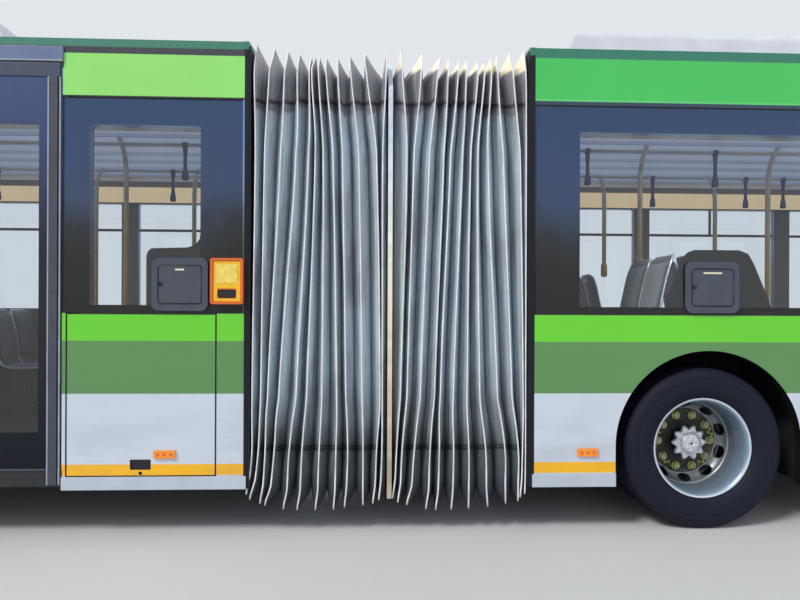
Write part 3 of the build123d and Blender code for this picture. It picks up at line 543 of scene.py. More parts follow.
def turnedPiece(name, profile, segments, materials, slots=None):
    # profile: a closed line of (radius, place along the axle), revolved about the Y axis
    shape = bmesh.new()
    rings = [[shape.verts.new((radius * cos(angle), along, radius * sin(angle))) for angle in turns(segments)]
             for radius, along in profile]
    for row, ring in enumerate(rings):
        bridge(shape, ring, rings[(row + 1) % len(rings)], slots[row] if slots else 0)
    return solidObject(name, shape, materials)


def tubeAlong(shape, points, radius, sides=8, slot=0, radii=None):
    rings = []
    points = [Vector(point) for point in points]
    for index, point in enumerate(points):
        ahead = (points[min(len(points) - 1, index + 1)] - points[max(0, index - 1)]).normalized()
        side = ahead.cross(Vector((1, 0, 0)))
        if side.length < 0.1:
            side = ahead.cross(Vector((0, 0, 1)))
        side.normalize()
        up = ahead.cross(side).normalized()
        reach = radii[index] if radii else radius
        rings.append([shape.verts.new(point + side * cos(angle) * reach + up * sin(angle) * reach)
                      for angle in turns(sides)])
    for here, there in zip(rings, rings[1:]):
        bridge(shape, here, there, slot)
    closeEnds(shape, rings[0], rings[-1], slot)


def place(piece, matrix):
    piece.data.transform(matrix)
    if matrix.determinant() < 0:
        piece.data.flip_normals()
    return piece


def copyOf(piece, name):
    return keep(name, piece.data.copy())


def baked(piece):
    # the mesh that the modifiers make
    graph = bpy.context.evaluated_depsgraph_get()
    mesh = bpy.data.meshes.new_from_object(piece.evaluated_get(graph))
    piece.modifiers.clear()
    return mesh


def thickened(piece, thickness):
    modifier = piece.modifiers.new("thickness", "SOLIDIFY")
    modifier.thickness = thickness
    modifier.offset = 0
    piece.data = baked(piece)
    return piece


def fit(piece, body, slot, *replaced):
    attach(piece, body)
    for node in replaced:
        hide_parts(node)


# repeated small pieces: one tree puts a box at steps along a line, another round a circle
def makeTree(name, sockets, kinds, links):
    tree = bpy.data.node_groups.new(name, "GeometryNodeTree")
    for label, kind in sockets:
        tree.interface.new_socket(label, in_out="INPUT", socket_type="NodeSocket" + kind)
    tree.interface.new_socket("Geometry", in_out="OUTPUT", socket_type="NodeSocketGeometry")
    made = {label: tree.nodes.new(kind) for label, kind in kinds.items()}
    for link in links:
        (source, output), (target, socket) = [end.split(".") for end in link.split(" > ")]
        tree.links.new(made[source].outputs[output], made[target].inputs[socket])
    return tree, made


ends = {"given": "NodeGroupInput", "result": "NodeGroupOutput", "spread": "GeometryNodeInstanceOnPoints",
        "real": "GeometryNodeRealizeInstances", "finish": "GeometryNodeSetMaterial"}
rowTree, made = makeTree(
    "rowOfPieces",
    [("Count", "Int"), ("Start", "Vector"), ("Step", "Vector"), ("Piece Size", "Vector"), ("Finish", "Material")],
    {**ends, "line": "GeometryNodeMeshLine", "cube": "GeometryNodeMeshCube"},
    ["given.Count > line.Count", "given.Start > line.Start Location", "given.Step > line.Offset",
     "given.Piece Size > cube.Size", "line.Mesh > spread.Points", "cube.Mesh > spread.Instance",
     "spread.Instances > real.Geometry", "real.Geometry > finish.Geometry", "given.Finish > finish.Material",
     "finish.Geometry > result.Geometry"])
made["line"].mode = "OFFSET"
# blocks round the Y axis, each turned to face outwards
ringTree, made = makeTree(
    "ringOfPieces",
    [("Count", "Int"), ("Radius", "Float"), ("Along", "Float"), ("Piece Size", "Vector"), ("Lean", "Vector"),
     ("Sides", "Int"), ("Finish", "Material")],
    {**ends, "circle": "GeometryNodeMeshCircle", "prism": "GeometryNodeMeshCylinder",
     "facing": "FunctionNodeAlignEulerToVector", "where": "GeometryNodeInputPosition",
     "turn": "GeometryNodeRotateInstances", "swing": "GeometryNodeTransform", "shift": "ShaderNodeCombineXYZ"},
    ["given.Count > circle.Vertices", "given.Radius > circle.Radius", "given.Sides > prism.Vertices",
     "circle.Mesh > spread.Points", "prism.Mesh > spread.Instance", "where.Position > facing.Vector",
     "facing.Rotation > spread.Rotation", "given.Piece Size > spread.Scale", "spread.Instances > turn.Instances",
     "given.Lean > turn.Rotation", "turn.Instances > real.Geometry", "real.Geometry > swing.Geometry",
     "given.Along > shift.Y", "shift.Vector > swing.Translation", "swing.Geometry > finish.Geometry",
     "given.Finish > finish.Material", "finish.Geometry > result.Geometry"])
made["circle"].fill_type = "NONE"
made["facing"].axis = "X"
made["swing"].inputs["Rotation"].default_value = (radians(90), 0, 0)
for label, value in (("Side Segments", 1), ("Radius", 0.5), ("Depth", 1.0)):
    made["prism"].inputs[label].default_value = value
trees = {"row": rowTree, "ring": ringTree}


def grown(name, kind, **values):
    # runs a tree with its named inputs and bakes the result to a plain mesh
    holder = keep(name + "Seed", bpy.data.meshes.new(name + "Seed"))
    modifier = holder.modifiers.new("repeat", "NODES")
    modifier.node_group = trees[kind]
    for item in trees[kind].interface.items_tree:
        label = item.name.replace(" ", "")
        if item.in_out == "INPUT" and label in values:
            modifier[item.identifier] = values[label]
    bpy.context.view_layer.update()
    mesh = baked(holder)
    bpy.data.objects.remove(holder)
    return keep(name, mesh)


# bellows: two hoods of pleated fabric. Ridge rows: X at the roof, at 2.68, 2.22, 0.77 and 0.49 m up,
# X of the foot, then the heights of the peak and the foot
hood = {"ridgeSide": 1.262, "valleySide": 1.150, "valleyTop": 2.705, "valleyFoot": 0.31, "seam": 0.485,
        "sideSteps": 46, "roofSteps": 14, "flankSteps": 7, "piping": 0.0041, "jointX": -1.46}
rearRidges = [
    (-2.236, -2.243, -2.235, -2.248, -2.247, -2.281, 2.830, 0.233),
    (-2.132, -2.156, -2.181, -2.199, -2.211, -2.262, 2.804, 0.202),
    (-2.052, -2.070, -2.090, -2.160, -2.172, -2.204, 2.785, 0.177),
    (-1.987, -1.998, -2.002, -2.096, -2.120, -2.177, 2.772, 0.165),
    (-1.919, -1.930, -1.930, -1.998, -2.035, -2.072, 2.756, 0.141),
    (-1.896, -1.916, -1.893, -1.937, -1.962, -1.993, 2.751, 0.134),
    (-1.872, -1.878, -1.848, -1.850, -1.864, -1.888, 2.752, 0.133),
    (-1.832, -1.834, -1.792, -1.765, -1.768, -1.783, 2.753, 0.135),
    (-1.768, -1.766, -1.738, -1.712, -1.700, -1.719, 2.754, 0.149),
    (-1.699, -1.692, -1.644, -1.619, -1.612, -1.612, 2.767, 0.160),
    (-1.611, -1.602, -1.542, -1.516, -1.534, -1.555, 2.786, 0.171),
    (-1.482, -1.486, -1.505, -1.503, -1.503, -1.520, 2.806, 0.192)]
frontRidges = [
    (-1.402, -1.394, -1.365, -1.398, -1.418, -1.440, 2.813, 0.203),
    (-1.275, -1.283, -1.322, -1.360, -1.386, -1.410, 2.799, 0.176),
    (-1.170, -1.187, -1.233, -1.283, -1.315, -1.358, 2.775, 0.161),
    (-1.121, -1.127, -1.150, -1.200, -1.224, -1.245, 2.761, 0.133),
    (-1.060, -1.068, -1.109, -1.166, -1.170, -1.187, 2.754, 0.127),
    (-1.019, -1.021, -1.041, -1.090, -1.087, -1.096, 2.752, 0.129),
    (-0.953, -0.953, -0.993, -1.010, -0.998, -0.995, 2.750, 0.135),
    (-0.914, -0.914, -0.951, -0.935, -0.900, -0.882, 2.754, 0.143),
    (-0.873, -0.873, -0.893, -0.831, -0.787, -0.778, 2.778, 0.164),
    (-0.838, -0.837, -0.804, -0.746, -0.709, -0.706, 2.790, 0.179),
    (-0.762, -0.747, -0.705, -0.682, -0.684, -0.694, 2.812, 0.202),
    (-0.676, -0.671, -0.668, -0.667, -0.666, -0.668, 2.829, 0.223)]


def bellowsFabric(name):
    # UV: u runs up the fold, v from its ridge to its valley
    material = newMaterial(name, 0.78, specular=0.35)
    x, y, z = axes(spot())
    source = addNode("ShaderNodeUVMap")
    source.uv_map = "fold"
    run, depth = axes(source.outputs[0])[:2]
    base = ramp(noise((22, 22, 0.8), 1.0, 6, 0.7), (0.3, rgb(162, 174, 184)), (0.44, rgb(194, 210, 222)),
                (0.62, rgb(214, 232, 244)), (0.78, rgb(170, 178, 184)))
    blots = noise((7, 7, 2.2), 1.0, 5, 0.6)
    base = mix(ramp(blots, (0.48, 0), (0.72, 0.6)), base, rgb(128, 120, 118))
    # rust-brown runs, mostly deep in the folds
    runs = ramp(noise((34, 34, 0.45), 1.0, 5, 0.8), (0.54, 0), (0.66, 0.75))
    base = mix(times(runs, ramp(depth, (0.1, 0.25), (0.7, 1.0))), base, rgb(96, 82, 76))
    # painted shade: the flank behind each crest is darker, deeper still into the valleys, with a thin painted shadow
    # beside each ridge
    base = mix(times(below(run, 1.5), 0.32), base, rgb(112, 106, 108))
    valley = ramp(depth, (0.03, 0.5), (0.07, 0.0), (0.74, 0.0), (0.86, 0.22), (0.93, 0.5), (1.0, 0.92))
    base = mix(valley, base, rgb(50, 51, 57))
    # a band of dirt with a wavy lower edge lies under the roof
    edge = times(noise((9, 9, 1.0), 1.0, 3), 0.2)
    level = minus(z, times(depth, 0.02))
    band = ramp(minus(level, plus(edge, 2.34)), (0.0, 0.0), (0.02, 0.66), (0.2, 0.56), (0.3, 0.24))
    base = mix(band, base, rgb(122, 114, 120))
    soot = ramp(noise((26, 26, 3.0), 1.0, 5, 0.7), (0.48, 0), (0.64, 0.7))
    base = mix(times(soot, band), base, rgb(48, 45, 48))
    # a sewn line across the band, sagging between the ridges
    sewn = ramp(size(minus(level, times(edge, 0.35), 2.462)), (0.004, 0.8), (0.02, 0.0))
    base = mix(sewn, base, rgb(44, 42, 46))
    # painted light on the tops: cream sunlight on the front half, pale grey on the rear half; darker towards the feet
    top = ramp(minus(z, 2.62), (0.0, 0.0), (0.07, 0.5), (0.18, 0.95))
    sunny = ramp(minus(z, 2.692), (0.0, 0.0), (0.016, 1.0))
    front = times(above(x, hood["jointX"]), above(size(y), 1.13))
    base = mix(times(top, minus(1.0, front)), base, rgb(190, 186, 190))
    base = mix(times(sunny, front), base, rgb(255, 248, 226))
    base = mix(ramp(z, (0.2, 0.97), (0.5, 0.78), (0.64, 0.36), (0.95, 0.0)), base, rgb(34, 38, 48))
    # a dirty seam above the feet with a soft painted shadow beside it: deeper cloth stands higher in the view, so the
    # seam falls with depth
    seam = plus(z, times(depth, 0.022), times(noise((12, 12, 2), 1.0, 3), 0.03))
    away = least(size(minus(seam, 0.507)), plus(size(minus(seam, 0.524)), 0.002))
    seams = times(ramp(away, (0.002, 0.95), (0.006, 0.5), (0.012, 0.0)),
                  ramp(noise((20, 20, 3), 1.0, 3), (0.34, 0.35), (0.5, 1.0)))
    give("Base Color", mix(seams, base, rgb(24, 25, 28)))
    crease = times(noise((9, 9, 3.4), 1.0, 5, 0.6), 20.0)
    bump(minus(plus(crease, noise((1, 1, 1), 900, 2)), times(seams, 3.0)), 0.5, 0.0012)
    gloss(blots, 0.3, 0.62, 0.7, 0.86)
    return material


bellowsCloth = bellowsFabric("bellowsCloth")
pipingFinish = plainFinish("palePiping", (250, 252, 255), 0.45, mottle=(10, 0.25), specular=0.4)


def smoothTable(places, values, where):
    # a smooth curve through a few values
    if where <= places[0]:
        return values[0]
    if where >= places[-1]:
        return values[-1]
    index = max(i for i in range(len(places) - 1) if places[i] <= where)
    first = values[max(0, index - 1)]
    last = values[min(len(values) - 1, index + 2)]
    t = (where - places[index]) / (places[index + 1] - places[index])
    a, b = values[index], values[index + 1]
    return 0.5 * (2 * a + (b - first) * t + (2 * first - 5 * a + 4 * b - last) * t * t
                  + (3 * a - first - 3 * b + last) * t * t * t)


def ridgeX(row, height):
    top, upper, high, low, seam, foot, peakZ, footZ = row
    ankle = seam + (foot - seam) * 0.36
    return smoothTable([footZ, footZ + 0.11, hood["seam"], 0.774, 2.218, 2.68, peakZ],
                       [foot, ankle, seam, low, high, upper, top], height)


def share(value):
    return min(1.0, max(0.0, value))


def hoodMesh(name, ridges, x0, x1):
    shape, piping = bmesh.new(), bmesh.new()
    fold = shape.loops.layers.uv.new("fold")
    random.seed(11)
    sideSteps, roofSteps, flankSteps = hood["sideSteps"], hood["roofSteps"], hood["flankSteps"]
    # stations round the hood: how far up the side or across the roof, and which side
    stations = [(f, -1) for f in shares(sideSteps)] + [(f, 0) for f in shares(roofSteps)[1:-1]]
    stations += [(f, 1) for f in reversed(shares(sideSteps))]

    def ridgePoint(row, f, side):
        peakZ, footZ = row[6:]
        if side == 0:
            return Vector((row[0], (hood["ridgeSide"] - 0.035) * (2 * f - 1), peakZ - 0.03 - 0.012 * sin(pi * f)))
        z = footZ + (peakZ - footZ) * f ** 1.15
        tuck = 0.035 * max(0.0, (z - 2.66) / 0.16) + 0.03 * max(0.0, (0.34 - z) / 0.2) ** 2
        return Vector((ridgeX(row, z), side * (hood["ridgeSide"] - tuck), z))

    def valleyPoint(line, foot, f, side):
        top = hood["valleyTop"]
        if side == 0:
            return Vector((line(top), (hood["valleySide"] - 0.09) * (2 * f - 1), top + 0.006))
        z = foot + (top - foot) * f ** 1.15
        tuck = 0.09 * max(0.0, (z - 2.56) / 0.145) ** 2
        return Vector((line(z), side * (hood["valleySide"] - tuck), z))

    def valleyLine(index):
        if index in (0, len(ridges)):
            return lambda z: x1 if index else x0
        before, after = ridges[index - 1], ridges[index]
        drift = random.uniform(-0.004, 0.004)
        way = 1 if x1 < -1.4 else -1

        def line(z):
            lean = 0.5 + way * 0.33 * share((z - 2.42) / 0.24) ** 1.3
            return ridgeX(before, z) * (1 - lean) + ridgeX(after, z) * lean + drift

        return line

    lines = [valleyLine(index) for index in range(len(ridges) + 1)]
    feet = [hood["valleyFoot"] + random.uniform(-0.012, 0.012) for index in lines]
    for index, row in enumerate(ridges):
        crest = [ridgePoint(row, *station) for station in stations]
        for way in (0, 1):
            hollow = [valleyPoint(lines[index + way], feet[index + way], *station) for station in stations]
            rows = []
            for top, bottom in zip(crest, hollow):
                cells = []
                for t in shares(flankSteps):
                    point = top.lerp(bottom, t)
                    low = share((0.56 - point.z) / 0.2)
                    pinch = max(0.0, 1 - abs(point.z - hood["seam"]) / 0.05)
                    puff = 0.75 * low * (1 - 0.6 * pinch) - 0.12 * (1 - low)
                    wrinkle = 0.0025 * sin(point.z * 7.0 + index * 2.1 + way)
                    bulge = abs(bottom.x - top.x) * puff * 0.5
                    point.x += ((2 * way - 1) * bulge + wrinkle) * sin(pi * t)
                    cells.append(shape.verts.new(point))
                rows.append(cells)
            for r in range(len(rows) - 1):
                for c in range(flankSteps):
                    corners = [(r, c), (r + 1, c), (r + 1, c + 1), (r, c + 1)]
                    if way == 0:
                        corners.reverse()
                    face = shape.faces.new([rows[u][v] for u, v in corners])
                    for loop, (u, v) in zip(face.loops, corners):
                        loop[fold].uv = (u / len(rows) + 2 * way, v / flankSteps)
        radii = [hood["piping"] * (1.2 if point.z < 0.36 else 1.0) for point in crest]
        tubeAlong(piping, crest, hood["piping"], 6, radii=radii)
    bmesh.ops.remove_doubles(shape, verts=shape.verts, dist=0.0004)
    cloth = thickened(meshObject(name + "Cloth", shape, [bellowsCloth]), 0.003)
    return cloth, solidObject(name + "Piping", piping, [pipingFinish])


for name, ridges, x0, x1, node in [
        ("rearHood", rearRidges, -2.259, hood["jointX"] - 0.016, "bellows_rear"),
        ("frontHood", frontRidges, hood["jointX"] + 0.016, -0.661, "bellows_front")]:
    cloth, cord = hoodMesh(name, ridges, x0, x1)
    for piece in (cloth, cord):
        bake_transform(piece)
    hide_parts(node)
print("bellows made")

# wheels: built round the Y axis with +Y to the outside, then set on each axle
wheel = {"segments": 112, "discY": 0.9615, "outerY": 1.117, "innerY": 0.806, "frontY": 1.087, "holes": 10,
         "holeAt": 0.234, "holeRadius": 0.036, "height": 0.4785, "nutAt": 0.1675, "nuts": 10}


def tyreFinish(name):
    material = newMaterial(name, 0.72, specular=0.3)
    dust = noise((1, 1, 1), 5, 6, 0.6)
    give("Base Color", ramp(dust, (0.3, rgb(11, 14, 30)), (0.6, rgb(17, 21, 41)), (0.8, rgb(30, 33, 48))))
    bump(noise((1, 1, 1), 160, 4), 0.3, 0.0012)
    gloss(dust, 0.3, 0.6, 0.75, 0.85)
    return material


tyreBlack = tyreFinish("tyreBlack")
rimSilver = finishes["silver_rim"]
# painted highlights: a bright lip and paler bead rings, copies of the rim metal made to look lit
lipHighlight = plainFinish("rimLip", (222, 230, 238), 0.3, metallic=0.4, mottle=(8, 0.12), grain=(40, 0.02, 0.0004))
rimBead = plainFinish("rimBead", (160, 168, 174), 0.34, metallic=0.3, mottle=(12, 0.3))
discDark = plainFinish("grimyDisc", (108, 109, 105), 0.6, metallic=0.25, mottle=(40, 0.6))
hubPale = plainFinish("hubSilver", (244, 246, 252), 0.3, metallic=0.4, mottle=(60, 0.5))
nutMarker = plainFinish("nutMarkers", (222, 228, 96), 0.5, mottle=(60, 0.2))
nutSteel = plainFinish("nutSteel", (176, 172, 152), 0.45, metallic=0.5, mottle=(60, 0.4))


def tyreShape():
    outer = [(0.2855, 0.091), (0.2990, 0.095), (0.3070, 0.109), (0.3200, 0.119), (0.3230, 0.1215),
             (0.3270, 0.1215), (0.3290, 0.1245), (0.3600, 0.1335), (0.3900, 0.1375), (0.4000, 0.138),
             (0.4020, 0.1362), (0.4060, 0.1362), (0.4080, 0.1375), (0.4300, 0.1345), (0.4500, 0.1275),
             (0.4620, 0.1190), (0.4680, 0.1110), (0.4745, 0.1060), (0.4765, 0.0900),
             (0.4780, 0.0640), (0.4640, 0.0620), (0.4640, 0.0530), (0.4783, 0.0510),
             (0.4785, 0.0210), (0.4645, 0.0190), (0.4645, 0.0080), (0.4785, 0.0060)]
    profile = outer + [(radius, -along) for radius, along in reversed(outer)]
    pieces = [turnedPiece("tyreBody", profile, wheel["segments"], [tyreBlack])]
    for along in (0.1085, -0.1085):
        pieces.append(grown("lugs", "ring", Count=72, Radius=0.4590, Along=along, Sides=4,
                            PieceSize=(0.022, 0.022, 0.018), Lean=(0, 0, radians(45)), Finish=tyreBlack))
    return join("tyreShape", pieces)


def rimShape():
    # the outer rim of a pair: +Y outside, disc towards the vehicle
    out = 0.105
    disc = wheel["discY"] + 0.014 - wheel["outerY"]
    outside = [(0.2985, out), (0.2985, out - 0.010), (0.2915, out - 0.014), (0.2850, out - 0.013),
               (0.2850, -out + 0.013), (0.2980, -out + 0.013), (0.2980, -out)]
    fromDisc = [(0.2600, 0.040), (0.2400, 0.012), (0.2120, -0.014), (0.0750, -0.014), (0.0750, 0), (0.2040, 0),
                (0.2060, 0.007), (0.2090, 0.0095), (0.2120, 0.009), (0.2480, 0.050), (0.2520, 0.060),
                (0.2535, 0.066), (0.2570, 0.068), (0.2600, 0.074), (0.2620, 0.120), (0.2660, 0.150),
                (0.2740, 0.168)]
    profile = outside + [(0.2780, -out), (0.2660, -0.080)]
    profile += [(radius, disc + along) for radius, along in fromDisc]
    profile += [(0.2760, out - 0.030), (0.2800, out - 0.012), (0.2880, out - 0.003), (0.2940, out)]
    slots = [0] * len(profile)
    # the bead steps take a paler finish, a painted highlight
    for index, (radius, along) in enumerate(profile):
        if 0.2055 < radius < 0.2100 or 0.2530 < radius < 0.2575:
            slots[index] = 3
        if abs(along - disc) < 0.0005 and radius < 0.2:
            slots[index] = 1
    # the last points are the lip that faces outwards, painted bright as a highlight
    slots[-2:] = [2, 2]
    body = turnedPiece("rimBody", profile, 120, [rimSilver, discDark, lipHighlight, rimBead], slots)
    cutters = []
    for angle in turns(wheel["holes"], 0.5):
        cutter = bmesh.new()
        bmesh.ops.create_cone(cutter, cap_ends=True, segments=24, radius1=wheel["holeRadius"],
                              radius2=wheel["holeRadius"], depth=0.16)
        # an oval hole, square to the cone
        bmesh.ops.scale(cutter, vec=(0.86, 1.12, 1), verts=cutter.verts)
        bmesh.ops.rotate(cutter, matrix=Matrix.Rotation(radians(-38), 3, "Y"), verts=cutter.verts)
        bmesh.ops.translate(cutter, vec=(wheel["holeAt"], 0, 0), verts=cutter.verts)
        # cone axis Z becomes the axle Y
        cutters.append(place(meshObject("cutter", cutter, [rimSilver]),
                             Matrix.Translation((0, disc + 0.028, 0)) @ Matrix.Rotation(angle, 4, "Y")
                             @ Matrix.Rotation(radians(-90), 4, "X")))
    tool = join("holeTool", cutters)
    cut = body.modifiers.new("holes", "BOOLEAN")
    cut.operation = "DIFFERENCE"
    cut.solver = "EXACT"
    cut.object = tool
    body.data = baked(body)
    bpy.data.objects.remove(tool)
    return body, disc


def hubShape(disc):
    # ten-pointed star flange with a round cap: inner and outer radius, height above the disc
    shape = bmesh.new()
    levels = [(0.070, 0.072, 0.000), (0.070, 0.072, 0.062), (0.081, 0.107, 0.068), (0.083, 0.112, 0.084),
              (0.079, 0.105, 0.093), (0.072, 0.086, 0.096), (0.064, 0.065, 0.098), (0.060, 0.061, 0.110),
              (0.046, 0.046, 0.118), (0.024, 0.024, 0.121), (0.007, 0.007, 0.122), (0.0065, 0.0065, 0.112)]
    rings = []
    for inner, outer, up in levels:
        ring = []
        for angle in turns(10 * 6):
            radius = inner + (outer - inner) * (0.5 + 0.5 * cos(10 * angle))
            ring.append(shape.verts.new((radius * cos(angle), disc + up, radius * sin(angle))))
        rings.append(ring)
    for row, (here, there) in enumerate(zip(rings, rings[1:])):
        bridge(shape, here, there, 1 if row in (0, len(rings) - 2) else 0)
    shape.faces.new(rings[-1]).material_index = 1
    shape.faces.new(rings[0])
    star = solidObject("starHub", shape, [hubPale, discDark])
    nuts = grown("wheelNuts", "ring", Count=wheel["nuts"], Radius=wheel["nutAt"], Along=disc + 0.016, Sides=6,
                 PieceSize=(0.036, 0.036, 0.032), Lean=(0, 0, 0), Finish=nutSteel)
    markers = bmesh.new()
    for index, angle in enumerate(turns(wheel["nuts"])):
        radial = Vector((cos(angle), 0, sin(angle)))
        around = Vector((-sin(angle), 0, cos(angle)))
        centre = radial * wheel["nutAt"] + Vector((0, disc + 0.022, 0))
        ring = [centre + radial * cos(a) * 0.023 + around * sin(a) * 0.023 for a in turns(16)]
        tubeAlong(markers, ring + ring[:1], 0.0034, 6)
        if index % 2 == 0:
            # a folded spring arm links each pair of nuts
            arm = []
            for part, radius in [(0.16, 0.172), (0.34, 0.190), (0.5, 0.158), (0.66, 0.190), (0.84, 0.172)]:
                a = angle + 2 * pi / wheel["nuts"] * part
                arm.append((radius * cos(a), disc + 0.024, radius * sin(a)))
            tubeAlong(markers, arm, 0.0040, 6)
    return join("hubShape", [star, nuts, solidObject("nutLinks", markers, [nutMarker])])


tyreModel = tyreShape()
rimModel, discAt = rimShape()
hubModel = hubShape(discAt)


def wheelSet(axle, side):
    flip = Matrix.Scale(1 if side == "left" else -1, 4, (0, 1, 0))
    back = Matrix.Scale(-1, 4, (0, 1, 0))
    # the single front rim shows its disc's outer side, near the flange
    places, hubY = [(wheel["outerY"], Matrix.Identity(4)), (wheel["innerY"], back)], wheel["outerY"]
    if axle == "front":
        places, hubY = [(wheel["frontY"], back)], wheel["frontY"] + 0.155 - discAt

    def at(y):
        return Matrix.Translation((axleX[axle], 0, wheel["height"])) @ flip @ Matrix.Translation((0, y, 0))

    tyres = [place(copyOf(tyreModel, "tyre"), at(y) @ face) for y, face in places]
    rims = [place(copyOf(rimModel, "rim"), at(y) @ face) for y, face in places]
    rims.append(place(copyOf(hubModel, "hub"), at(hubY)))
    tyre = join(f"{axle}Tyre{side.capitalize()}", tyres)
    rim = join(f"{axle}Rim{side.capitalize()}", rims)
    fit(tyre, f"{axle}_wheel_{side}", "tyre_rubber", f"{axle}_tyre_{side}")
    fit(rim, f"{axle}_wheel_{side}", "silver_rim", f"{axle}_rim_{side}")


for axle in axleX:
    for side in ("left", "right"):
        wheelSet(axle, side)
for model in (tyreModel, rimModel, hubModel):
    bpy.data.objects.remove(model)
print("wheels made")

# trims and small fittings on the outside
skinY = -1.275
finish = {
    "black": plainFinish("trimBlack", (24, 25, 30), 0.4, mottle=(14, 0.2)),
    "frame": plainFinish("doorFrame", (72, 77, 90), 0.36, metallic=0.2, mottle=(8, 0.16)),
    "lintel": plainFinish("doorLintel", (66, 76, 100), 0.36, metallic=0.1, mottle=(5, 0.2)),
    "header": plainFinish("doorHeader", (108, 122, 160), 0.34, metallic=0.15, mottle=(4, 0.2)),
    "navy": plainFinish("edgeNavy", (18, 21, 32), 0.45, mottle=(5, 0.25), specular=0.3),
    "seal": plainFinish("paleSeal", (164, 174, 190), 0.4, mottle=(12, 0.25)),
    "rubber": plainFinish("sealRubber", (40, 41, 46), 0.66, mottle=(18, 0.25)),
    "teal": plainFinish("railTeal", (52, 124, 104), 0.36, coat=0.25, mottle=(5, 0.12)),
    "sill": plainFinish("sillPale", (196, 208, 222), 0.4, coat=0.15, mottle=(3, 0.2)),
    "yellow": plainFinish("boxYellow", (252, 196, 30), 0.42, coat=0.2, mottle=(20, 0.14)),
    "paleYellow": plainFinish("boxPanel", (255, 226, 110), 0.4, mottle=(30, 0.25)),
    "cream": plainFinish("creamBar", (236, 232, 206), 0.4, mottle=(30, 0.1)),
    "mask": plainFinish("glassMask", (16, 13, 12), 0.35, mottle=(10, 0.3), specular=0.2),
    "strap": plainFinish("strapBlue", (52, 68, 132), 0.6, mottle=(30, 0.2)),
    "lampStrip": plainFinish("lampStrip", (244, 244, 246), 0.3, mottle=(10, 0.04)),
    "redTail": plainFinish("tailRed", (206, 24, 22), 0.2, coat=0.6, mottle=(20, 0.15)),
    "bright": plainFinish("brightMetal", (206, 208, 210), 0.2, metallic=0.9, mottle=(20, 0.1)),
}
doorway = {"foot": 0.300, "top": 2.598, "glassFoot": 0.593, "glassTop": 2.336}


def doorTrim(node, body):
    low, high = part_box(node)
    x0, x1, y = low[0], high[0], skinY
    middle = (x0 + x1) / 2
    foot, top = doorway["foot"], doorway["top"]
    boxes = [((x0 - 0.004, y - 0.010, 2.688), (x1 + 0.006, y + 0.02, 2.768), 3),
             ((x0 - 0.002, y - 0.004, 2.655), (x1 + 0.004, y + 0.01, 2.774), 2),
             ((x0 - 0.002, y - 0.012, 2.686), (x1 + 0.004, y + 0.00, 2.692), 1),
             ((x0 + 0.012, y - 0.006, 2.601), (x1 - 0.012, y + 0.02, 2.677), 5)]
    for a, b in ((x1 - 0.130, x1 - 0.078), (x0 + 0.078, x0 + 0.130), (middle - 0.072, middle - 0.022),
                 (middle + 0.022, middle + 0.072)):
        boxes.append(((a, y - 0.001, doorway["glassFoot"]), (b, y + 0.006, doorway["glassTop"]), 4))
    boxes += [((x0 - 0.002, y - 0.004, 0.289), (x1 + 0.002, y + 0.02, 0.379), 2),
              ((x0 + 0.02, y - 0.010, 0.380), (x1 - 0.02, y + 0.02, 0.392), 0),
              ((middle - 0.024, y - 0.009, foot), (middle - 0.002, y + 0.02, top), 2),
              ((middle + 0.002, y - 0.009, foot), (middle + 0.024, y + 0.02, top), 2)]
    for edge, way in ((x1, -1), (x0, 1)):
        for near, far, proud, slot in ((0.008, 0.016, 0.008, 1), (0.016, 0.0245, 0.002, 2),
                                       (0.0245, 0.071, 0.009, 0), (0.071, 0.079, 0.011, 1)):
            a, b = sorted((edge + way * near, edge + way * far))
            boxes.append(((a, y - proud, foot), (b, y + 0.02, top), slot))
    trim = boxPiece(node + "Trim", boxes, [finish["frame"], finish["seal"], finish["rubber"], finish["header"],
                                           doorGlass, finish["lintel"]], 0.0015)
    # a grab bar inside each leaf
    bars = bmesh.new()
    line = [(0.045, 0.86), (0.10, 0.90), (0.11, 1.1), (0.11, 1.75), (0.10, 1.95), (0.045, 1.99)]
    for x in (middle - 0.11, middle + 0.11):
        tubeAlong(bars, [(x, y + inwards, z) for inwards, z in line], 0.015, 10)
    grab = meshObject(node + "Grab", bars, [finishes["yellow_tube"]])
    fit(join(node + "Trim", [trim, grab]), body, "dark_metal")


for node, body in (("front_door", "front_section"), ("middle_door", "front_section"), ("rear_door", "rear_section")):
    doorTrim(node, body)


def stretches(x0, x1, holes):
    # what is left of x0 to x1 between the holes
    pieces, low = [], x0
    for a, b in sorted(holes):
        if a > low:
            pieces.append((low, a))
        low = max(low, b)
    if low < x1:
        pieces.append((low, x1))
    return pieces


sill = {"inner": 1.2745, "outer": 1.2800, "foot": 0.268, "top": 0.343}


def sillStrips(name, body, x0, x1, doors, axles):
    boxes = []
    for side in (-1, 1):
        holes = [(axleX[axle] + archAhead - archRadius[axle], axleX[axle] + archAhead + archRadius[axle])
                 for axle in axles]
        if side < 0:
            holes += [(low[0], high[0]) for low, high in map(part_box, doors)]
        boxes += [onSide(side, a - 0.001, b + 0.001, sill["inner"], sill["outer"], sill["foot"], sill["top"])
                  for a, b in stretches(x0, x1, holes)]
    fit(boxPiece(name, boxes, [finish["sill"]], 0.002), body, "white_paint")


frontFrom, frontTo = [corner[0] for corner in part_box("front_wall_left")]
rearFrom, rearTo = [corner[0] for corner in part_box("rear_wall_left")]
sillStrips("frontSill", "front_section", frontFrom - 0.011, frontTo, ["front_door", "middle_door"],
           ["middle", "front"])
sillStrips("rearSill", "rear_section", rearFrom, rearTo + 0.021, ["rear_door"], ["drive"])


lip = {"steps": 40, "half": 1.277, "inner": 1.258, "foot": 2.776, "edge": 2.8215, "crown": 0.085, "thick": 0.028}


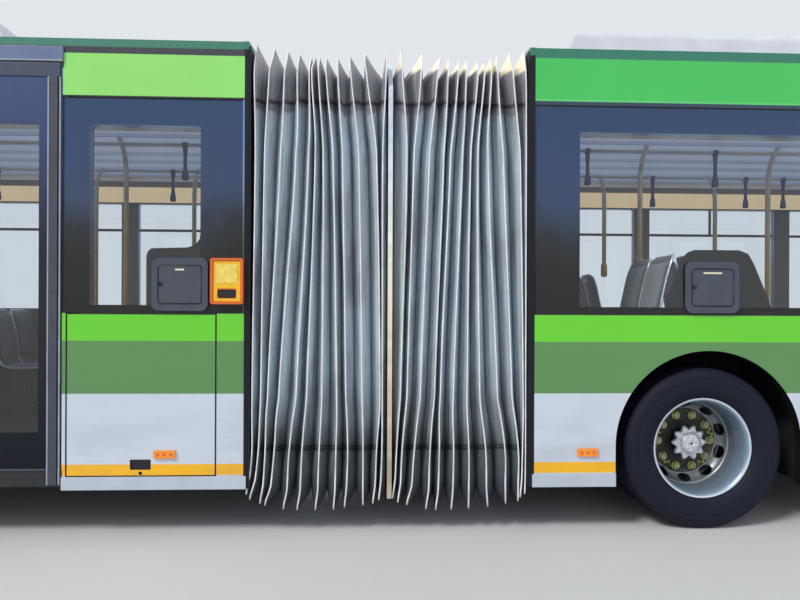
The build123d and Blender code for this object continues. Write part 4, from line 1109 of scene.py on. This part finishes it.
def roofLip(name, body, x0, x1):
    # the roof's edge carried on over the bellows' portal
    shape = bmesh.new()
    half, inside, foot = lip["half"], lip["inner"], lip["foot"]
    rings = []
    for x in (x0, x1):
        outer, inner = [], []
        for t in [2 * part - 1 for part in shares(lip["steps"])]:
            crown = lip["edge"] + lip["crown"] * (1 - t * t)
            outer.append((x, half * t, crown))
            inner.append((x, half * t * 0.985, crown - lip["thick"]))
        ring = [(x, -half, foot)] + outer + [(x, half, foot), (x, inside, foot)] + inner[::-1] + [(x, -inside, foot)]
        rings.append([shape.verts.new(point) for point in ring])
    bridge(shape, *rings)
    closeEnds(shape, rings[1], rings[0])
    bmesh.ops.triangulate(shape, faces=[face for face in shape.faces if len(face.verts) > 4])
    fit(solidObject(name, shape, [finish["teal"]], smooth=False), body, "roof_paint")


def endTrim(name, body, strips):
    # upright strips on both sides over the portal's edge: X from, X to, foot, top, finish
    boxes = [onSide(side, x0, x1, 1.2610, 1.2752, z0, z1, slot) for side in (-1, 1) for x0, x1, z0, z1, slot in strips]
    fit(boxPiece(name, boxes, [rearPaint, finish["navy"]], 0.0008), body, "dark_metal")


endTrim("rearEdge", "rear_section", [(rearTo + 0.0002, rearTo + 0.0075, 0.3455, 2.775, 0),
                                     (rearTo + 0.0078, rearTo + 0.0325, 0.270, 2.775, 1)])
endTrim("frontEdge", "front_section", [(frontFrom - 0.0395, frontFrom - 0.0003, 0.270, 2.762, 1)])
roofLip("rearLip", "rear_section", rearTo - 0.001, rearTo + 0.0325)
roofLip("frontLip", "front_section", frontFrom - 0.0325, frontFrom + 0.001)


flap = {"bend": 0.020, "insetX": 0.0355, "insetZ": 0.0415, "cord": 0.0044}


def flapTrim(node, body, end, way, outline, wide):
    # outline: black print on the glass, from the flap's end (0 left, 1 right); wide: half the cream bar
    x0, x1, y, z0, z1 = facing(node)
    middle, level = (x0 + x1) / 2, (z0 + z1) / 2
    bar = boxPiece(node + "Bar", [((middle - wide, y - 0.0015, z1 - 0.071), (middle + wide, y + 0.002, z1 - 0.061)),
                                  ((x0 + 0.042, y + 0.002, level - 0.008), (x0 + 0.056, y + 0.0045, level + 0.008), 1)],
                   [finish["cream"], finish["black"]], 0.0008)
    # a black cord lies in the groove that outlines the flap
    cord = bmesh.new()
    bend = flap["bend"]
    inX, inZ = flap["insetX"] + bend, flap["insetZ"] + bend
    corners = [(x1 - inX, z1 - inZ), (x0 + inX, z1 - inZ), (x0 + inX, z0 + inZ), (x1 - inX, z0 + inZ)]
    ring = []
    for turn, (x, z) in enumerate(corners):
        for angle in [(turn + part) * pi / 2 for part in shares(5)]:
            ring.append((x + bend * cos(angle), y + 0.0012, z + bend * sin(angle)))
    tubeAlong(cord, ring + ring[:1], flap["cord"], 8)
    cord = solidObject(node + "Cord", cord, [finish["black"]])
    mask = bmesh.new()
    front, back = [[mask.verts.new(((x0, x1)[end] + way * x, skinY + proud, z0 + 0.01 + z)) for x, z in outline]
                   for proud in (0.0076, 0.0090)]
    closeEnds(mask, back, front)
    bridge(mask, back, front)
    printed = solidObject(node + "Mask", mask, [finish["mask"]], smooth=False)
    fit(join(node + "Trim", [bar, cord, printed]), body, "black_plastic")


flapTrim("rear_flap", "rear_section", 1, -1, [
    (0.351, 0), (0.351, 0.300), (0.343, 0.328), (0.322, 0.346), (0.120, 0.352), (0.076, 0.368), (0.052, 0.402),
    (0.044, 0.460), (0.030, 0.460), (0.030, 0)], 0.025)
flapTrim("front_flap", "front_section", 0, 1, [
    (-0.120, 0), (-0.090, 0.110), (-0.020, 0.290), (0.015, 0.345), (0.060, 0.362), (0.330, 0.362), (0.385, 0.340),
    (0.420, 0.280), (0.500, 0.090), (0.530, 0)], 0.055)

# face of the wall box: frame of four strips, a lock and a blank panel
x0, x1, y, z0, z1 = facing("wall_box")
rows = [(x0 + 0.016, x1 - 0.016, z0 + 0.090, z1 - 0.016), (x0 + 0.016, x1 - 0.016, z0 + 0.016, z0 + 0.032),
        (x0 + 0.016, x0 + 0.038, z0 + 0.032, z0 + 0.090), (x1 - 0.038, x1 - 0.016, z0 + 0.032, z0 + 0.090)]
boxes = [((a, y + 0.0065, foot), (b, y + 0.0082, top)) for a, b, foot, top in rows]
boxes += [((x0 + 0.041, y + 0.0120, z0 + 0.035), (x1 - 0.041, y + 0.0148, z0 + 0.083), 1),
          ((x0 + 0.034, y + 0.0045, z0 + 0.120), (x1 - 0.034, y + 0.0070, z1 - 0.034), 2)]
fit(boxPiece("boxFace", boxes, [finish["yellow"], finish["black"], finish["paleYellow"]], 0.0006),
    "rear_section", "orange_box")

# side lid; its box takes in the pins beyond each end
pin = 0.021
a, b, foot = lidLow[0] + pin, lidHigh[0] - pin, lidLow[2]
x = a + 0.351
fit(boxPiece("lidHandle", [((x + 0.002, -1.2622, 0.383), (x + 0.115, -1.2606, 0.438)),
                           ((x + 0.006, -1.2740, 0.425), (x + 0.111, -1.2650, 0.436)),
                           ((x + 0.050, -1.2635, 0.354), (x + 0.067, -1.2606, 0.371))],
             [finish["black"]], 0.0008), "side_lid", "black_plastic")
fit(boxPiece("lidEdge", [((x0, skinY - 0.0006, foot), (x1, skinY + 0.003, 1.2685))
                         for x0, x1 in ((a - 0.0085, a - 0.0035), (b + 0.0035, b + 0.0085))],
             [finish["black"]], 0.0), "rear_section", "black_plastic")


def looseParts(node):
    # low and high corner of each separate part of a CAD node
    shape = bmesh.new()
    shape.from_mesh(nodes[node].data)
    parts, seen = [], set()
    for vert in shape.verts:
        if vert in seen:
            continue
        seen.add(vert)
        group, waiting = [], [vert]
        while waiting:
            here = waiting.pop()
            group.append(here.co)
            fresh = {edge.other_vert(here) for edge in here.link_edges} - seen
            seen |= fresh
            waiting += fresh
        parts.append([Vector([pick(values) for values in zip(*group)]) for pick in (min, max)])
    shape.free()
    return parts


# three dots on each side marker
dot = {"pitch": 0.036, "radius": 0.009, "flat": 0.35, "y": -1.287, "z": 0.4695}


def markerDots(name, body, places):
    shape = bmesh.new()
    for x in places:
        for offset in (-dot["pitch"], 0.0, dot["pitch"]):
            ball = bmesh.ops.create_uvsphere(shape, u_segments=12, v_segments=8, radius=dot["radius"])
            for vert in ball["verts"]:
                vert.co = Vector((vert.co.x + x + offset, vert.co.y * dot["flat"] + dot["y"], vert.co.z + dot["z"]))
    fit(meshObject(name, shape, [finishes["orange_box"]]), body, "lamp_lens")


for node, body in (("front_lamps", "front_section"), ("rear_lamps", "rear_section")):
    middles = [(low.x + high.x) / 2 for low, high in looseParts(node)
               if high.y < -1.286 and 0.1 < high.x - low.x < 0.2 and tailFrom < low.x < noseFrom
               and 0.03 < high.z - low.z < 0.1]
    markerDots(node + "Dots", body, middles)
print("outside trims made")

# nose, tail and roof: pieces that lie on the CAD's curved skin
skins = {}


def skinPoint(node, y, z, way):
    # where a level line meets the node: way 1 from the front, -1 from behind; 0 is from above, at X and Y
    if node not in skins:
        mesh = nodes[node].data
        skins[node] = BVHTree.FromPolygons([vert.co for vert in mesh.vertices],
                                           [tuple(face.vertices) for face in mesh.polygons])
    start, ray = ((way * 12, y, z), (-way, 0, 0)) if way else ((y, z, 5), (0, 0, -1))
    return skins[node].ray_cast(Vector(start), Vector(ray))[0]


def skinPatch(shape, node, y0, y1, z0, z1, way, proud=0.002, slot=0, steps=14):
    # a thin closed plate that follows the skin
    outer, inner = [], []
    for z in (z0, z1):
        near, far = [], []
        for y in [y0 + (y1 - y0) * part for part in shares(steps)]:
            point = skinPoint(node, y, z, way)
            if point is None:
                return
            near.append(shape.verts.new((point.x + way * proud, y, z)))
            far.append(shape.verts.new((point.x - way * 0.001, y, z)))
        outer.append(near)
        inner.append(far)
    for here in range(steps):
        for side, other in ((outer[0], outer[1]), (inner[1], inner[0]), (inner[0], outer[0]), (outer[1], inner[1])):
            corners = (side[here], side[here + 1], other[here + 1], other[here])
            shape.faces.new(corners).material_index = slot
    for at in (0, steps):
        shape.faces.new((outer[0][at], outer[1][at], inner[1][at], inner[0][at])).material_index = slot


def skinFrame(shape, node, wide, narrow, levels, way, proud, slot):
    # four plates round an opening: half widths outside and inside, and the heights of their edges
    foot, sill, head, top = levels
    for y0, y1, z0, z1 in ((-wide, wide, foot, sill), (-wide, wide, head, top), (-wide, -narrow, sill, head),
                           (narrow, wide, sill, head)):
        skinPatch(shape, node, y0, y1, z0, z1, way, proud, slot, 20)


def noseDetails():
    low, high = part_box("windscreen")
    half, low, high = min(1.12, high[1] - 0.05), low[2], high[2]
    shape = bmesh.new()
    # black print round the screen, a frame round the blank display, a dark grille
    skinFrame(shape, "windscreen", half, half - 0.06, (low + 0.004, low + 0.085, high - 0.07, high - 0.004),
              1, 0.0015, 0)
    skinFrame(shape, "nose", display["frameWide"], display["frameNarrow"], display["frameLevels"], 1, 0.003, 1)
    skinPatch(shape, "nose", -0.62, 0.62, 0.300, 0.344, 1, 0.003, 1, 16)
    for index in range(5):
        skinPatch(shape, "nose", -0.516, 0.516, 0.803 + 0.042 * index, 0.819 + 0.042 * index, 1, 0.001, 1, 16)
    # wipers: an arm from the cowl and a blade that lies on the glass
    for heel, tip in ((0.92, 0.44), (-0.06, -0.54)):
        arm, blade = [], []
        for t in shares(8):
            y, z = heel + (tip - heel) * t * 0.7, low - 0.04 + 0.52 * t
            point = skinPoint("windscreen" if z > low + 0.002 else "nose", y, z, 1)
            if point is not None:
                arm.append((point.x + 0.018 + 0.016 * sin(pi * t), y, z))
        for t in shares(10):
            y, z = tip + 0.14 - 0.10 * t, low + 0.10 + 0.82 * t
            point = skinPoint("windscreen", y, z, 1)
            if point is not None:
                blade.append((point.x + 0.011, y, z))
        tubeAlong(shape, arm, 0.008, 8, 1)
        tubeAlong(shape, blade, 0.007, 6, 1)
        x, y, z = arm[0]
        addBox(shape, (x - 0.03, y - 0.022, z - 0.022), (x + 0.008, y + 0.022, z + 0.022), 1, 0.004)
    # a bright ring and a bulb in each bowl, on the lenses' front
    for way in (-1, 1):
        for y, z, radius in lampBowls:
            point = skinPoint("front_lamps", way * y, z, 1)
            if point is None:
                continue
            ring = []
            for angle in turns(24):
                at = (way * y + radius * cos(angle), z + radius * sin(angle))
                ring.append(((skinPoint("front_lamps", *at, 1) or point).x + 0.001, *at))
            tubeAlong(shape, ring + ring[:1], 0.004, 6, 2)
            bulb = bmesh.ops.create_uvsphere(shape, u_segments=16, v_segments=10, radius=radius * 0.45)["verts"]
            for vert in bulb:
                vert.co = Vector((vert.co.x * 0.25 + point.x + 0.001, vert.co.y + way * y, vert.co.z + z))
            for face in {face for vert in bulb for face in vert.link_faces}:
                face.material_index = 3
    materials = [finish["mask"], finish["black"], finish["bright"], finish["lampStrip"]]
    fit(solidObject("noseDetails", shape, materials, smooth=False), "front_section", "black_plastic")


noseDetails()
boxes = [onSide(side, 8.6878, 8.6905, 1.318, 1.497, z0, z1)
         for side in (-1, 1) for z0, z1 in ((1.905, 2.132), (1.768, 1.888))]
fit(boxPiece("mirrorGlass", boxes, [finish["bright"]], 0.001), "front_section", "black_plastic")


def lidLouvres():
    shape = bmesh.new()
    for low in [0.640 + 0.055 * index for index in range(10)]:
        skinPatch(shape, "engine_lid", -0.696, 0.696, low + 0.003, low + 0.021, -1, 0.001, 0, 12)
    x = skinPoint("engine_lid", 0.0, 0.50, -1).x
    addBox(shape, (x - 0.012, -0.09, 0.478), (x + 0.001, 0.09, 0.500), 0, 0.004)
    fit(solidObject("lidLouvres", shape, [finish["black"]], smooth=False), "engine_lid", "black_plastic")


rearWindow = {"foot": 1.56, "top": 2.336, "half": 0.95}


def tailDetails():
    # black print round the rear window, a high brake lamp, chrome edges on the lamps
    shape = bmesh.new()
    foot, top, half = rearWindow["foot"], rearWindow["top"], rearWindow["half"]
    skinFrame(shape, "tail", half + 0.09, half + 0.003, (foot - 0.10, foot - 0.003, top + 0.003, top + 0.10),
              -1, 0.002, 0)
    skinPatch(shape, "tail", -0.24, 0.24, 2.372, 2.402, -1, 0.010, 1, 10)
    for z0, z1 in ((0.952, 0.960), (1.110, 1.130), (1.250, 1.270), (1.370, 1.378)):
        for way in (-1, 1):
            skinPatch(shape, "tail", *sorted((way * 1.00, way * 1.125)), z0, z1, -1, 0.006, 2, 6)
    fit(solidObject("tailDetails", shape, [finish["black"], finish["redTail"], finish["bright"]], smooth=False),
        "rear_section", "black_plastic")


lidLouvres()
tailDetails()

# roof: hatches, fairing seams, vents and bolts
roofGrey = plainFinish("hatchGrey", (196, 200, 206), 0.45, mottle=(5, 0.2))
ventDark = plainFinish("ventDark", (44, 47, 52), 0.6, mottle=(9, 0.3))
boltSteel = plainFinish("boltSteel", (150, 152, 156), 0.4, metallic=0.6, mottle=(50, 0.3))


def roofHatch(name, part, x):
    top = skinPoint(part + "_roof", x, 0.0, 0).z
    shape = bmesh.new()
    for half, foot, up, slot, bevel in ((0.40, -0.03, 0.030, 1, 0.004), (0.375, 0.026, 0.066, 0, 0.014),
                                        (0.26, 0.060, 0.078, 0, 0.008)):
        addBox(shape, (x - half * 0.92, -half, top + foot), (x + half * 0.92, half, top + up), slot, bevel)
    for y in (-0.2, 0.2):
        addBox(shape, (x + 0.33, y - 0.03, top + 0.02), (x + 0.40, y + 0.03, top + 0.055), 1, 0.004)
    fit(meshObject(name, shape, [roofGrey, ventDark], smooth=False), part + "_section", "roof_paint")


for name, part, x in (("frontHatch", "front", 3.5), ("noseHatch", "front", 8.0), ("rearHatch", "rear", -3.0),
                      ("tailHatch", "rear", -8.05)):
    roofHatch(name, part, x)


def podTable(node):
    # X range and half width of each fairing, from its top faces
    spans = []
    for low, high in looseParts(node):
        if high.x - low.x > 1.5 and high.y - low.y > 1.0:
            spans.append((round(low.x, 2), round(high.x, 2), max(abs(low.y), abs(high.y))))
    merged = []
    for x0, x1, half in sorted(spans):
        if merged and x0 < merged[-1][1] - 0.5:
            merged[-1] = (min(merged[-1][0], x0), max(merged[-1][1], x1), max(merged[-1][2], half))
        else:
            merged.append((x0, x1, half))
    return merged


def podDetails(part):
    pieces = []
    for x0, x1, half in podTable(part + "_pods"):
        count = max(2, int(x1 - x0))
        pitch = (x1 - x0 - 0.3) / count
        # seams across the fairing and a row of fixing bolts on each side
        seams = bmesh.new()
        for x in [x0 + 0.15 + pitch * index for index in range(1, count)]:
            line = []
            for y in [(half - 0.03) * (2 * part - 1) for part in shares(24)]:
                point = skinPoint(part + "_pods", x, y, 0)
                if point is not None:
                    line.append((x, y, point.z + 0.0005))
            tubeAlong(seams, line, 0.0035, 6)
        pieces.append(meshObject("seams", seams, [ventDark]))
        for side in (-1, 1):
            pieces.append(grown("podBolts", "row", Count=int((x1 - x0) / 0.35), PieceSize=(0.020, 0.010, 0.020),
                                Start=(x0 + 0.25, side * (half + 0.001), 2.93), Step=(0.35, 0, 0), Finish=boltSteel))
    fit(join(part + "PodDetails", pieces), part + "_section", "roof_paint")


for part in ("front", "rear"):
    podDetails(part)
print("nose, tail and roof made")

# inside: posts that curve out to the ceiling, straps between them
cabin = {"railY": 0.35, "ceiling": 2.499, "hopper": 2.085, "tube": 0.0175, "carrierY": 0.41, "carrierZ": 2.468}
ochre = shadedFinish("ochrePost", [(0.44, rgb(226, 170, 54)), (0.56, rgb(216, 178, 98)), (0.66, rgb(212, 200, 168)),
                                   (0.72, rgb(214, 210, 200))], coat=0.2, roughness=0.4, mottle=(18, 0.25))
palePost = plainFinish("palePost", (214, 210, 206), 0.36, coat=0.2, mottle=(12, 0.15))


def strap(shape, x, y):
    # a band looped over the rail, pinched at the middle, with a grip below: height and half sizes
    widths = [(2.482, 0.017, 0.016), (2.455, 0.018, 0.015), (2.440, 0.016, 0.004), (2.36, 0.012, 0.003),
              (2.30, 0.013, 0.004), (2.262, 0.020, 0.008), (2.225, 0.022, 0.009), (2.215, 0.018, 0.007)]
    outline = ((-1, -1), (-0.6, -1.3), (0.6, -1.3), (1, -1), (1, 1), (0.6, 1.3), (-0.6, 1.3), (-1, 1))
    rings = [[shape.verts.new((x + a * halfX, y + b * halfY, z)) for a, b in outline] for z, halfX, halfY in widths]
    for here, there in zip(rings, rings[1:]):
        bridge(shape, here, there, 2)
    closeEnds(shape, rings[0], rings[-1], 2)


# how far out a post stands at each height, as a share of railY, and then its arm to the ceiling
postLine = [(1.0, 2.06), (1.0, 2.20), (1.01, 2.28), (1.03, 2.335)]
armLine = [(1.03, 2.335), (1.08, 2.39), (1.18, 2.445), (1.34, 2.4985)]


def cabinRails(part, posts, straps, x0, x1):
    # posts: X, side, foot height; straps: X, side; X from, X to of the rails under the ceiling
    shape = bmesh.new()
    tube = cabin["tube"]
    for x, side, foot in posts:
        y = side * cabin["railY"]
        tubeAlong(shape, [(x, y, foot), (x, y, foot + 0.10)] + [(x, y * out, z) for out, z in postLine], tube, 14)
        tubeAlong(shape, [(x, y * out, z) for out, z in armLine], tube * 0.94, 14, 1)
        tubeAlong(shape, [(x, y, foot + up) for up in (0, 0.012, 0.10, 0.112)], tube, 14, 0,
                  radii=[tube * 1.1, tube * 1.5, tube * 1.5, tube * 1.1])
    for side in (-1, 1):
        tubeAlong(shape, [(x, side * cabin["carrierY"], cabin["carrierZ"]) for x in (x0, x1)], 0.011, 10, 1)
    for x, side in straps:
        strap(shape, x, side * cabin["carrierY"])
    rails = solidObject(part + "Rails", shape, [ochre, palePost, finish["strap"]])
    fit(rails, part + "_section", "yellow_tube", part + "_handrails")


floorZ, boxZ, seatTopZ = 0.372, 0.85, 1.60
cabinRails("front",
           [(0.41 + 0.97 * index, side, floorZ if index else seatTopZ) for index in range(6) for side in (-1, 1)],
           [(-0.006 + 0.95 * index, -1) for index in range(6)]
           + [(x, 1) for x in (0.859, 1.687, 2.024, 2.85, 3.70, 4.56)], -0.25, 5.28)
cabinRails("rear",
           [(-3.336, -1, floorZ), (-3.868, 1, floorZ), (-3.064, 1, floorZ), (-5.125, -1, seatTopZ),
            (-5.125, 1, seatTopZ), (-6.88, -1, boxZ), (-6.88, 1, boxZ)],
           [(-6.45, -1), (-6.02, 1), (-5.6, -1), (-4.7, 1), (-4.3, -1), (-3.26, 1), (-2.9, -1)], -6.9, -2.75)

# seats: a thin shell with a bright edge, and two upholstered pads blown up by cloth pressure
seat = {"wide": 0.288, "step": 0.300, "inner": 0.750, "rim": 0.0065, "swell": 0.010, "swellFrames": 15,
        "outerFace": 1.2, "padGap": 0.050, "boxPairAhead": 0.71}
shellGrey = plainFinish("seatShellGrey", (96, 98, 104), 0.42, mottle=(10, 0.2))
seatEdge = plainFinish("seatEdge", (226, 234, 240), 0.24, metallic=0.5, mottle=(14, 0.1))
shellLine = [Vector(point) for point in [
    (0.420, -0.052), (0.405, -0.030), (0.360, -0.020), (0.220, -0.026), (0.110, -0.024), (0.045, 0.002),
    (0.016, 0.060), (0.004, 0.140), (-0.012, 0.240), (-0.036, 0.350), (-0.062, 0.440), (-0.080, 0.488),
    (-0.098, 0.498)]]


def seatCloth(name):
    # woven moquette with a small scattered pattern
    material = newMaterial(name, 0.9, specular=0.25)
    give("Sheen Weight", 0.3)
    cells = addNode("ShaderNodeTexVoronoi", Scale=46, Vector=spot()).outputs["Distance"]
    base = mix(noise((1, 1, 1), 5, 4), rgb(96, 98, 108), rgb(122, 122, 128))
    give("Base Color", mix(times(ramp(cells, (0.16, 1), (0.24, 0)), 0.6), base, rgb(54, 72, 118)))
    bump(plus(noise((1, 1, 1), 620, 2), times(noise((1, 1, 1), 30, 3), 2.0)), 0.5, 0.0012)
    return material


def lineAt(points, t):
    # the point a share t of the way along a line
    lengths = [0.0]
    for a, b in zip(points, points[1:]):
        lengths.append(lengths[-1] + (b - a).length)
    where = t * lengths[-1]
    index = max(i for i in range(len(points) - 1) if lengths[i] <= where + 1e-9)
    span = lengths[index + 1] - lengths[index]
    return points[index].lerp(points[index + 1], min(1.0, (where - lengths[index]) / span))


def shellModel():
    shape = bmesh.new()
    along, across = 26, 8
    rows = []
    for t in shares(along):
        x, z = lineAt(shellLine, t)
        # corners round off at the front edge and at the top of the back
        half = seat["wide"] / 2 * (1 - 0.30 * max(0.0, 1 - min(t, 1 - t) / 0.07) ** 2.2)
        back = 1 if t > 0.55 else 0
        cells = []
        for v in [2 * part - 1 for part in shares(across)]:
            dish = 0.014 * v * v
            cells.append(shape.verts.new((x + dish * back, v * half, z + dish * (1 - back))))
        rows.append(cells)
    for here, there in zip(rows, rows[1:]):
        for j in range(across):
            shape.faces.new((here[j], here[j + 1], there[j + 1], there[j]))
    ring = [row[0] for row in rows] + rows[-1][1:] + [row[-1] for row in rows[-2::-1]] + rows[0][-2::-1]
    ring = [vert.co.copy() for vert in ring]
    shell = thickened(meshObject("shell", shape, [shellGrey]), 0.010)
    edge = bmesh.new()
    tubeAlong(edge, ring, seat["rim"], 8)
    return join("shell", [shell, solidObject("rim", edge, [seatEdge])])


def padModel(name, t0, t1, thick):
    # a closed slab that follows the shell, swollen by cloth pressure and capped
    shape = bmesh.new()
    along, across, half = 15, 12, (seat["wide"] - seat["padGap"]) / 2
    grids = []
    for level in (0.004, 0.004 + thick):
        grid = []
        for part in shares(along):
            t, u = t0 + (t1 - t0) * part, 2 * part - 1
            here = lineAt(shellLine, t)
            ahead = (lineAt(shellLine, min(1, t + 0.02)) - lineAt(shellLine, max(0, t - 0.02))).normalized()
            row = []
            for v in [2 * part - 1 for part in shares(across)]:
                lift = level * (1 - 0.35 * max(abs(u), abs(v)) ** 8) + 0.010 * v * v
                inset = 1 - 0.06 * abs(u) ** 6
                row.append(shape.verts.new((here.x + ahead.y * lift, v * half * inset, here.y - ahead.x * lift)))
            grid.append(row)
        grids.append(grid)
    low, high = grids
    for i in range(along):
        for j in range(across):
            shape.faces.new((low[i][j], low[i + 1][j], low[i + 1][j + 1], low[i][j + 1]))
            shape.faces.new((high[i][j], high[i][j + 1], high[i + 1][j + 1], high[i + 1][j]))
    for i in range(along):
        shape.faces.new((low[i][0], high[i][0], high[i + 1][0], low[i + 1][0]))
        shape.faces.new((low[i][across], low[i + 1][across], high[i + 1][across], high[i][across]))
    for j in range(across):
        shape.faces.new((low[0][j], low[0][j + 1], high[0][j + 1], high[0][j]))
        shape.faces.new((low[along][j], high[along][j], high[along][j + 1], low[along][j + 1]))
    start = [vert.co.copy() for vert in shape.verts]
    pad = solidObject(name, shape, [clothOfSeats])
    cloth = pad.modifiers.new("swell", "CLOTH").settings
    cloth.use_pressure = True
    cloth.uniform_pressure_force = 3.0
    cloth.effector_weights.gravity = 0
    cloth.quality = 5
    for step in range(1, seat["swellFrames"]):
        scene.frame_set(step)
    pad.data = baked(pad)
    scene.frame_set(1)
    for vert, origin in zip(pad.data.vertices, start):
        move = vert.co - origin
        if move.length > seat["swell"]:
            move = move.normalized() * seat["swell"]
        vert.co = origin + move
    for face in pad.data.polygons:
        face.use_smooth = True
    return pad


clothOfSeats = seatCloth("moquette")
shellOne = shellModel()
cushionOne = padModel("cushion", 0.06, 0.42, 0.026)
backOne = padModel("backPad", 0.52, 0.94, 0.022)
print("seat model made")


def seatSet(part, turnedX):
    shells, pads, legs = [], [], []
    # each pair of the CAD, from the outer face of its profile
    for low, high in looseParts(part + "_seats"):
        if abs(abs(low.y) - seat["outerFace"]) >= 0.002 or high.y - low.y >= 0.001 or high.z - low.z <= 0.5:
            continue
        side, foot, seatZ = 1 if low.y > 0 else -1, low.z, high.z - 0.50
        face, x = Matrix.Identity(4), low.x + 0.11
        if abs(low.x - turnedX) < 0.05:
            face, x = Matrix.Rotation(pi, 4, "Z"), high.x - 0.055
        for index in (0, 1):
            move = Matrix.Translation((x, side * (seat["inner"] + seat["step"] * index), seatZ)) @ face
            shells.append(place(copyOf(shellOne, "shell"), move))
            pads += [place(copyOf(model, "pad"), move) for model in (cushionOne, backOne)]
        # two legs of sheet metal and a beam under the pair
        middle = (low.x + high.x) / 2
        for y in (0.70, 1.10):
            legs += [onSide(side, middle - 0.09, middle + 0.09, y - 0.012, y + 0.012, foot, seatZ - 0.075),
                     onSide(side, middle - 0.15, middle + 0.15, y - 0.022, y + 0.022, foot, foot + 0.012)]
        legs.append(onSide(side, middle - 0.05, middle + 0.05, 0.62, 1.19, seatZ - 0.085, seatZ - 0.045))
    name = part + "Seats"
    shell, pad = join(name + "Shells", shells), join(name + "Pads", pads)
    leg = boxPiece(name + "Legs", legs, [finishes["dark_metal"]], 0.004)
    fit(shell, part + "_section", "seat_shell", part + "_seats")
    for piece in (pad, leg):
        fit(piece, part + "_section", "seat_shell")


# the first pair over each wheel box faces the rear
seatSet("front", axleX["middle"] - seat["boxPairAhead"])
seatSet("rear", axleX["drive"] - seat["boxPairAhead"])
for model in (shellOne, cushionOne, backOne):
    bpy.data.objects.remove(model)

for part, x0, x1 in (("front", frontFrom, frontTo), ("rear", rearFrom, rearTo)):
    boxes = [((x0 + 0.1, side * 0.74 - 0.06, cabin["ceiling"] - 0.022),
              (x1 - 0.1, side * 0.74 + 0.06, cabin["ceiling"] - 0.0005)) for side in (-1, 1)]
    fit(boxPiece(part + "LampStrips", boxes, [finish["lampStrip"]], 0.006), part + "_section", "white_paint")
for part in ("front", "rear"):
    # a sliding pane's frame in the top of each wide window on the left
    boxes = []
    for low, high in looseParts(part + "_windows"):
        if low.y > 1.2 and high.y < 1.2705 and high.x - low.x > 0.7 and high.z - low.z > 0.9:
            a, b, up = low.x + 0.06, high.x - 0.06, cabin["hopper"]
            middle = (a + b) / 2
            boxes += [((a, 1.2500, up - 0.012), (b, 1.2686, up + 0.012)),
                      ((middle - 0.010, 1.2500, up), (middle + 0.010, 1.2686, 2.35))]
    fit(boxPiece(part + "Hoppers", boxes, [finish["black"]], 0.002), part + "_section", "black_plastic")
print("inside fittings made")

# floor, light and camera; angles in degrees, the camera where the photograph was taken from
stage = {"floor": 60, "skyLight": 0.72, "sun": 2.0, "sunSpread": 14, "sunAim": (0.55, 0.45, -0.72),
         "lens": 27.0, "rise": 15 / 800, "eye": (-1.535, -4.729, 1.265), "pan": -2.2, "roll": 0.235}
paving = newMaterial("palePaving", 0.75)
speck = ramp(noise((1, 1, 1), 40, 6, 0.7), (0.3, 0.0), (0.7, 0.3))
give("Base Color", mix(speck, rgb(206, 207, 209), rgb(190, 191, 194)))
shape = bmesh.new()
bmesh.ops.create_grid(shape, x_segments=1, y_segments=1, size=stage["floor"])
meshObject("floor", shape, [paving])

world = bpy.data.worlds.new("softSky")
scene.world = world
world.use_nodes = True
world.node_tree.nodes.clear()
work["tree"] = world.node_tree
lit = addNode("ShaderNodeBackground", Color=(0.93, 0.96, 1.0, 1), Strength=stage["skyLight"]).outputs[0]
seen = addNode("ShaderNodeBackground", Color=rgb(226, 230, 235), Strength=1.0).outputs[0]
path = addNode("ShaderNodeLightPath").outputs
eye = most(path["Is Camera Ray"], path["Is Transmission Ray"], path["Is Glossy Ray"])
addNode("ShaderNodeOutputWorld", Surface=choose(eye, lit, seen))

sunData = bpy.data.lights.new("softSun", "SUN")
sunData.energy = stage["sun"]
sunData.angle = radians(stage["sunSpread"])
sunData.color = (1.0, 0.965, 0.9)
keep("softSun", sunData).rotation_euler = Vector(stage["sunAim"]).to_track_quat("-Z", "Y").to_euler()

cameraData = bpy.data.cameras.new("camera")
cameraData.sensor_width = 36
cameraData.lens = stage["lens"]
cameraData.clip_end = 400
cameraData.shift_y = stage["rise"]
camera = keep("camera", cameraData)
camera.matrix_world = (Matrix.Translation(stage["eye"]) @ Matrix.Rotation(radians(stage["pan"]), 4, "Z")
                       @ Matrix.Rotation(radians(90), 4, "X") @ Matrix.Rotation(radians(stage["roll"]), 4, "Z"))
scene.camera = camera
scene.view_settings.view_transform = "Standard"
print("stage set")
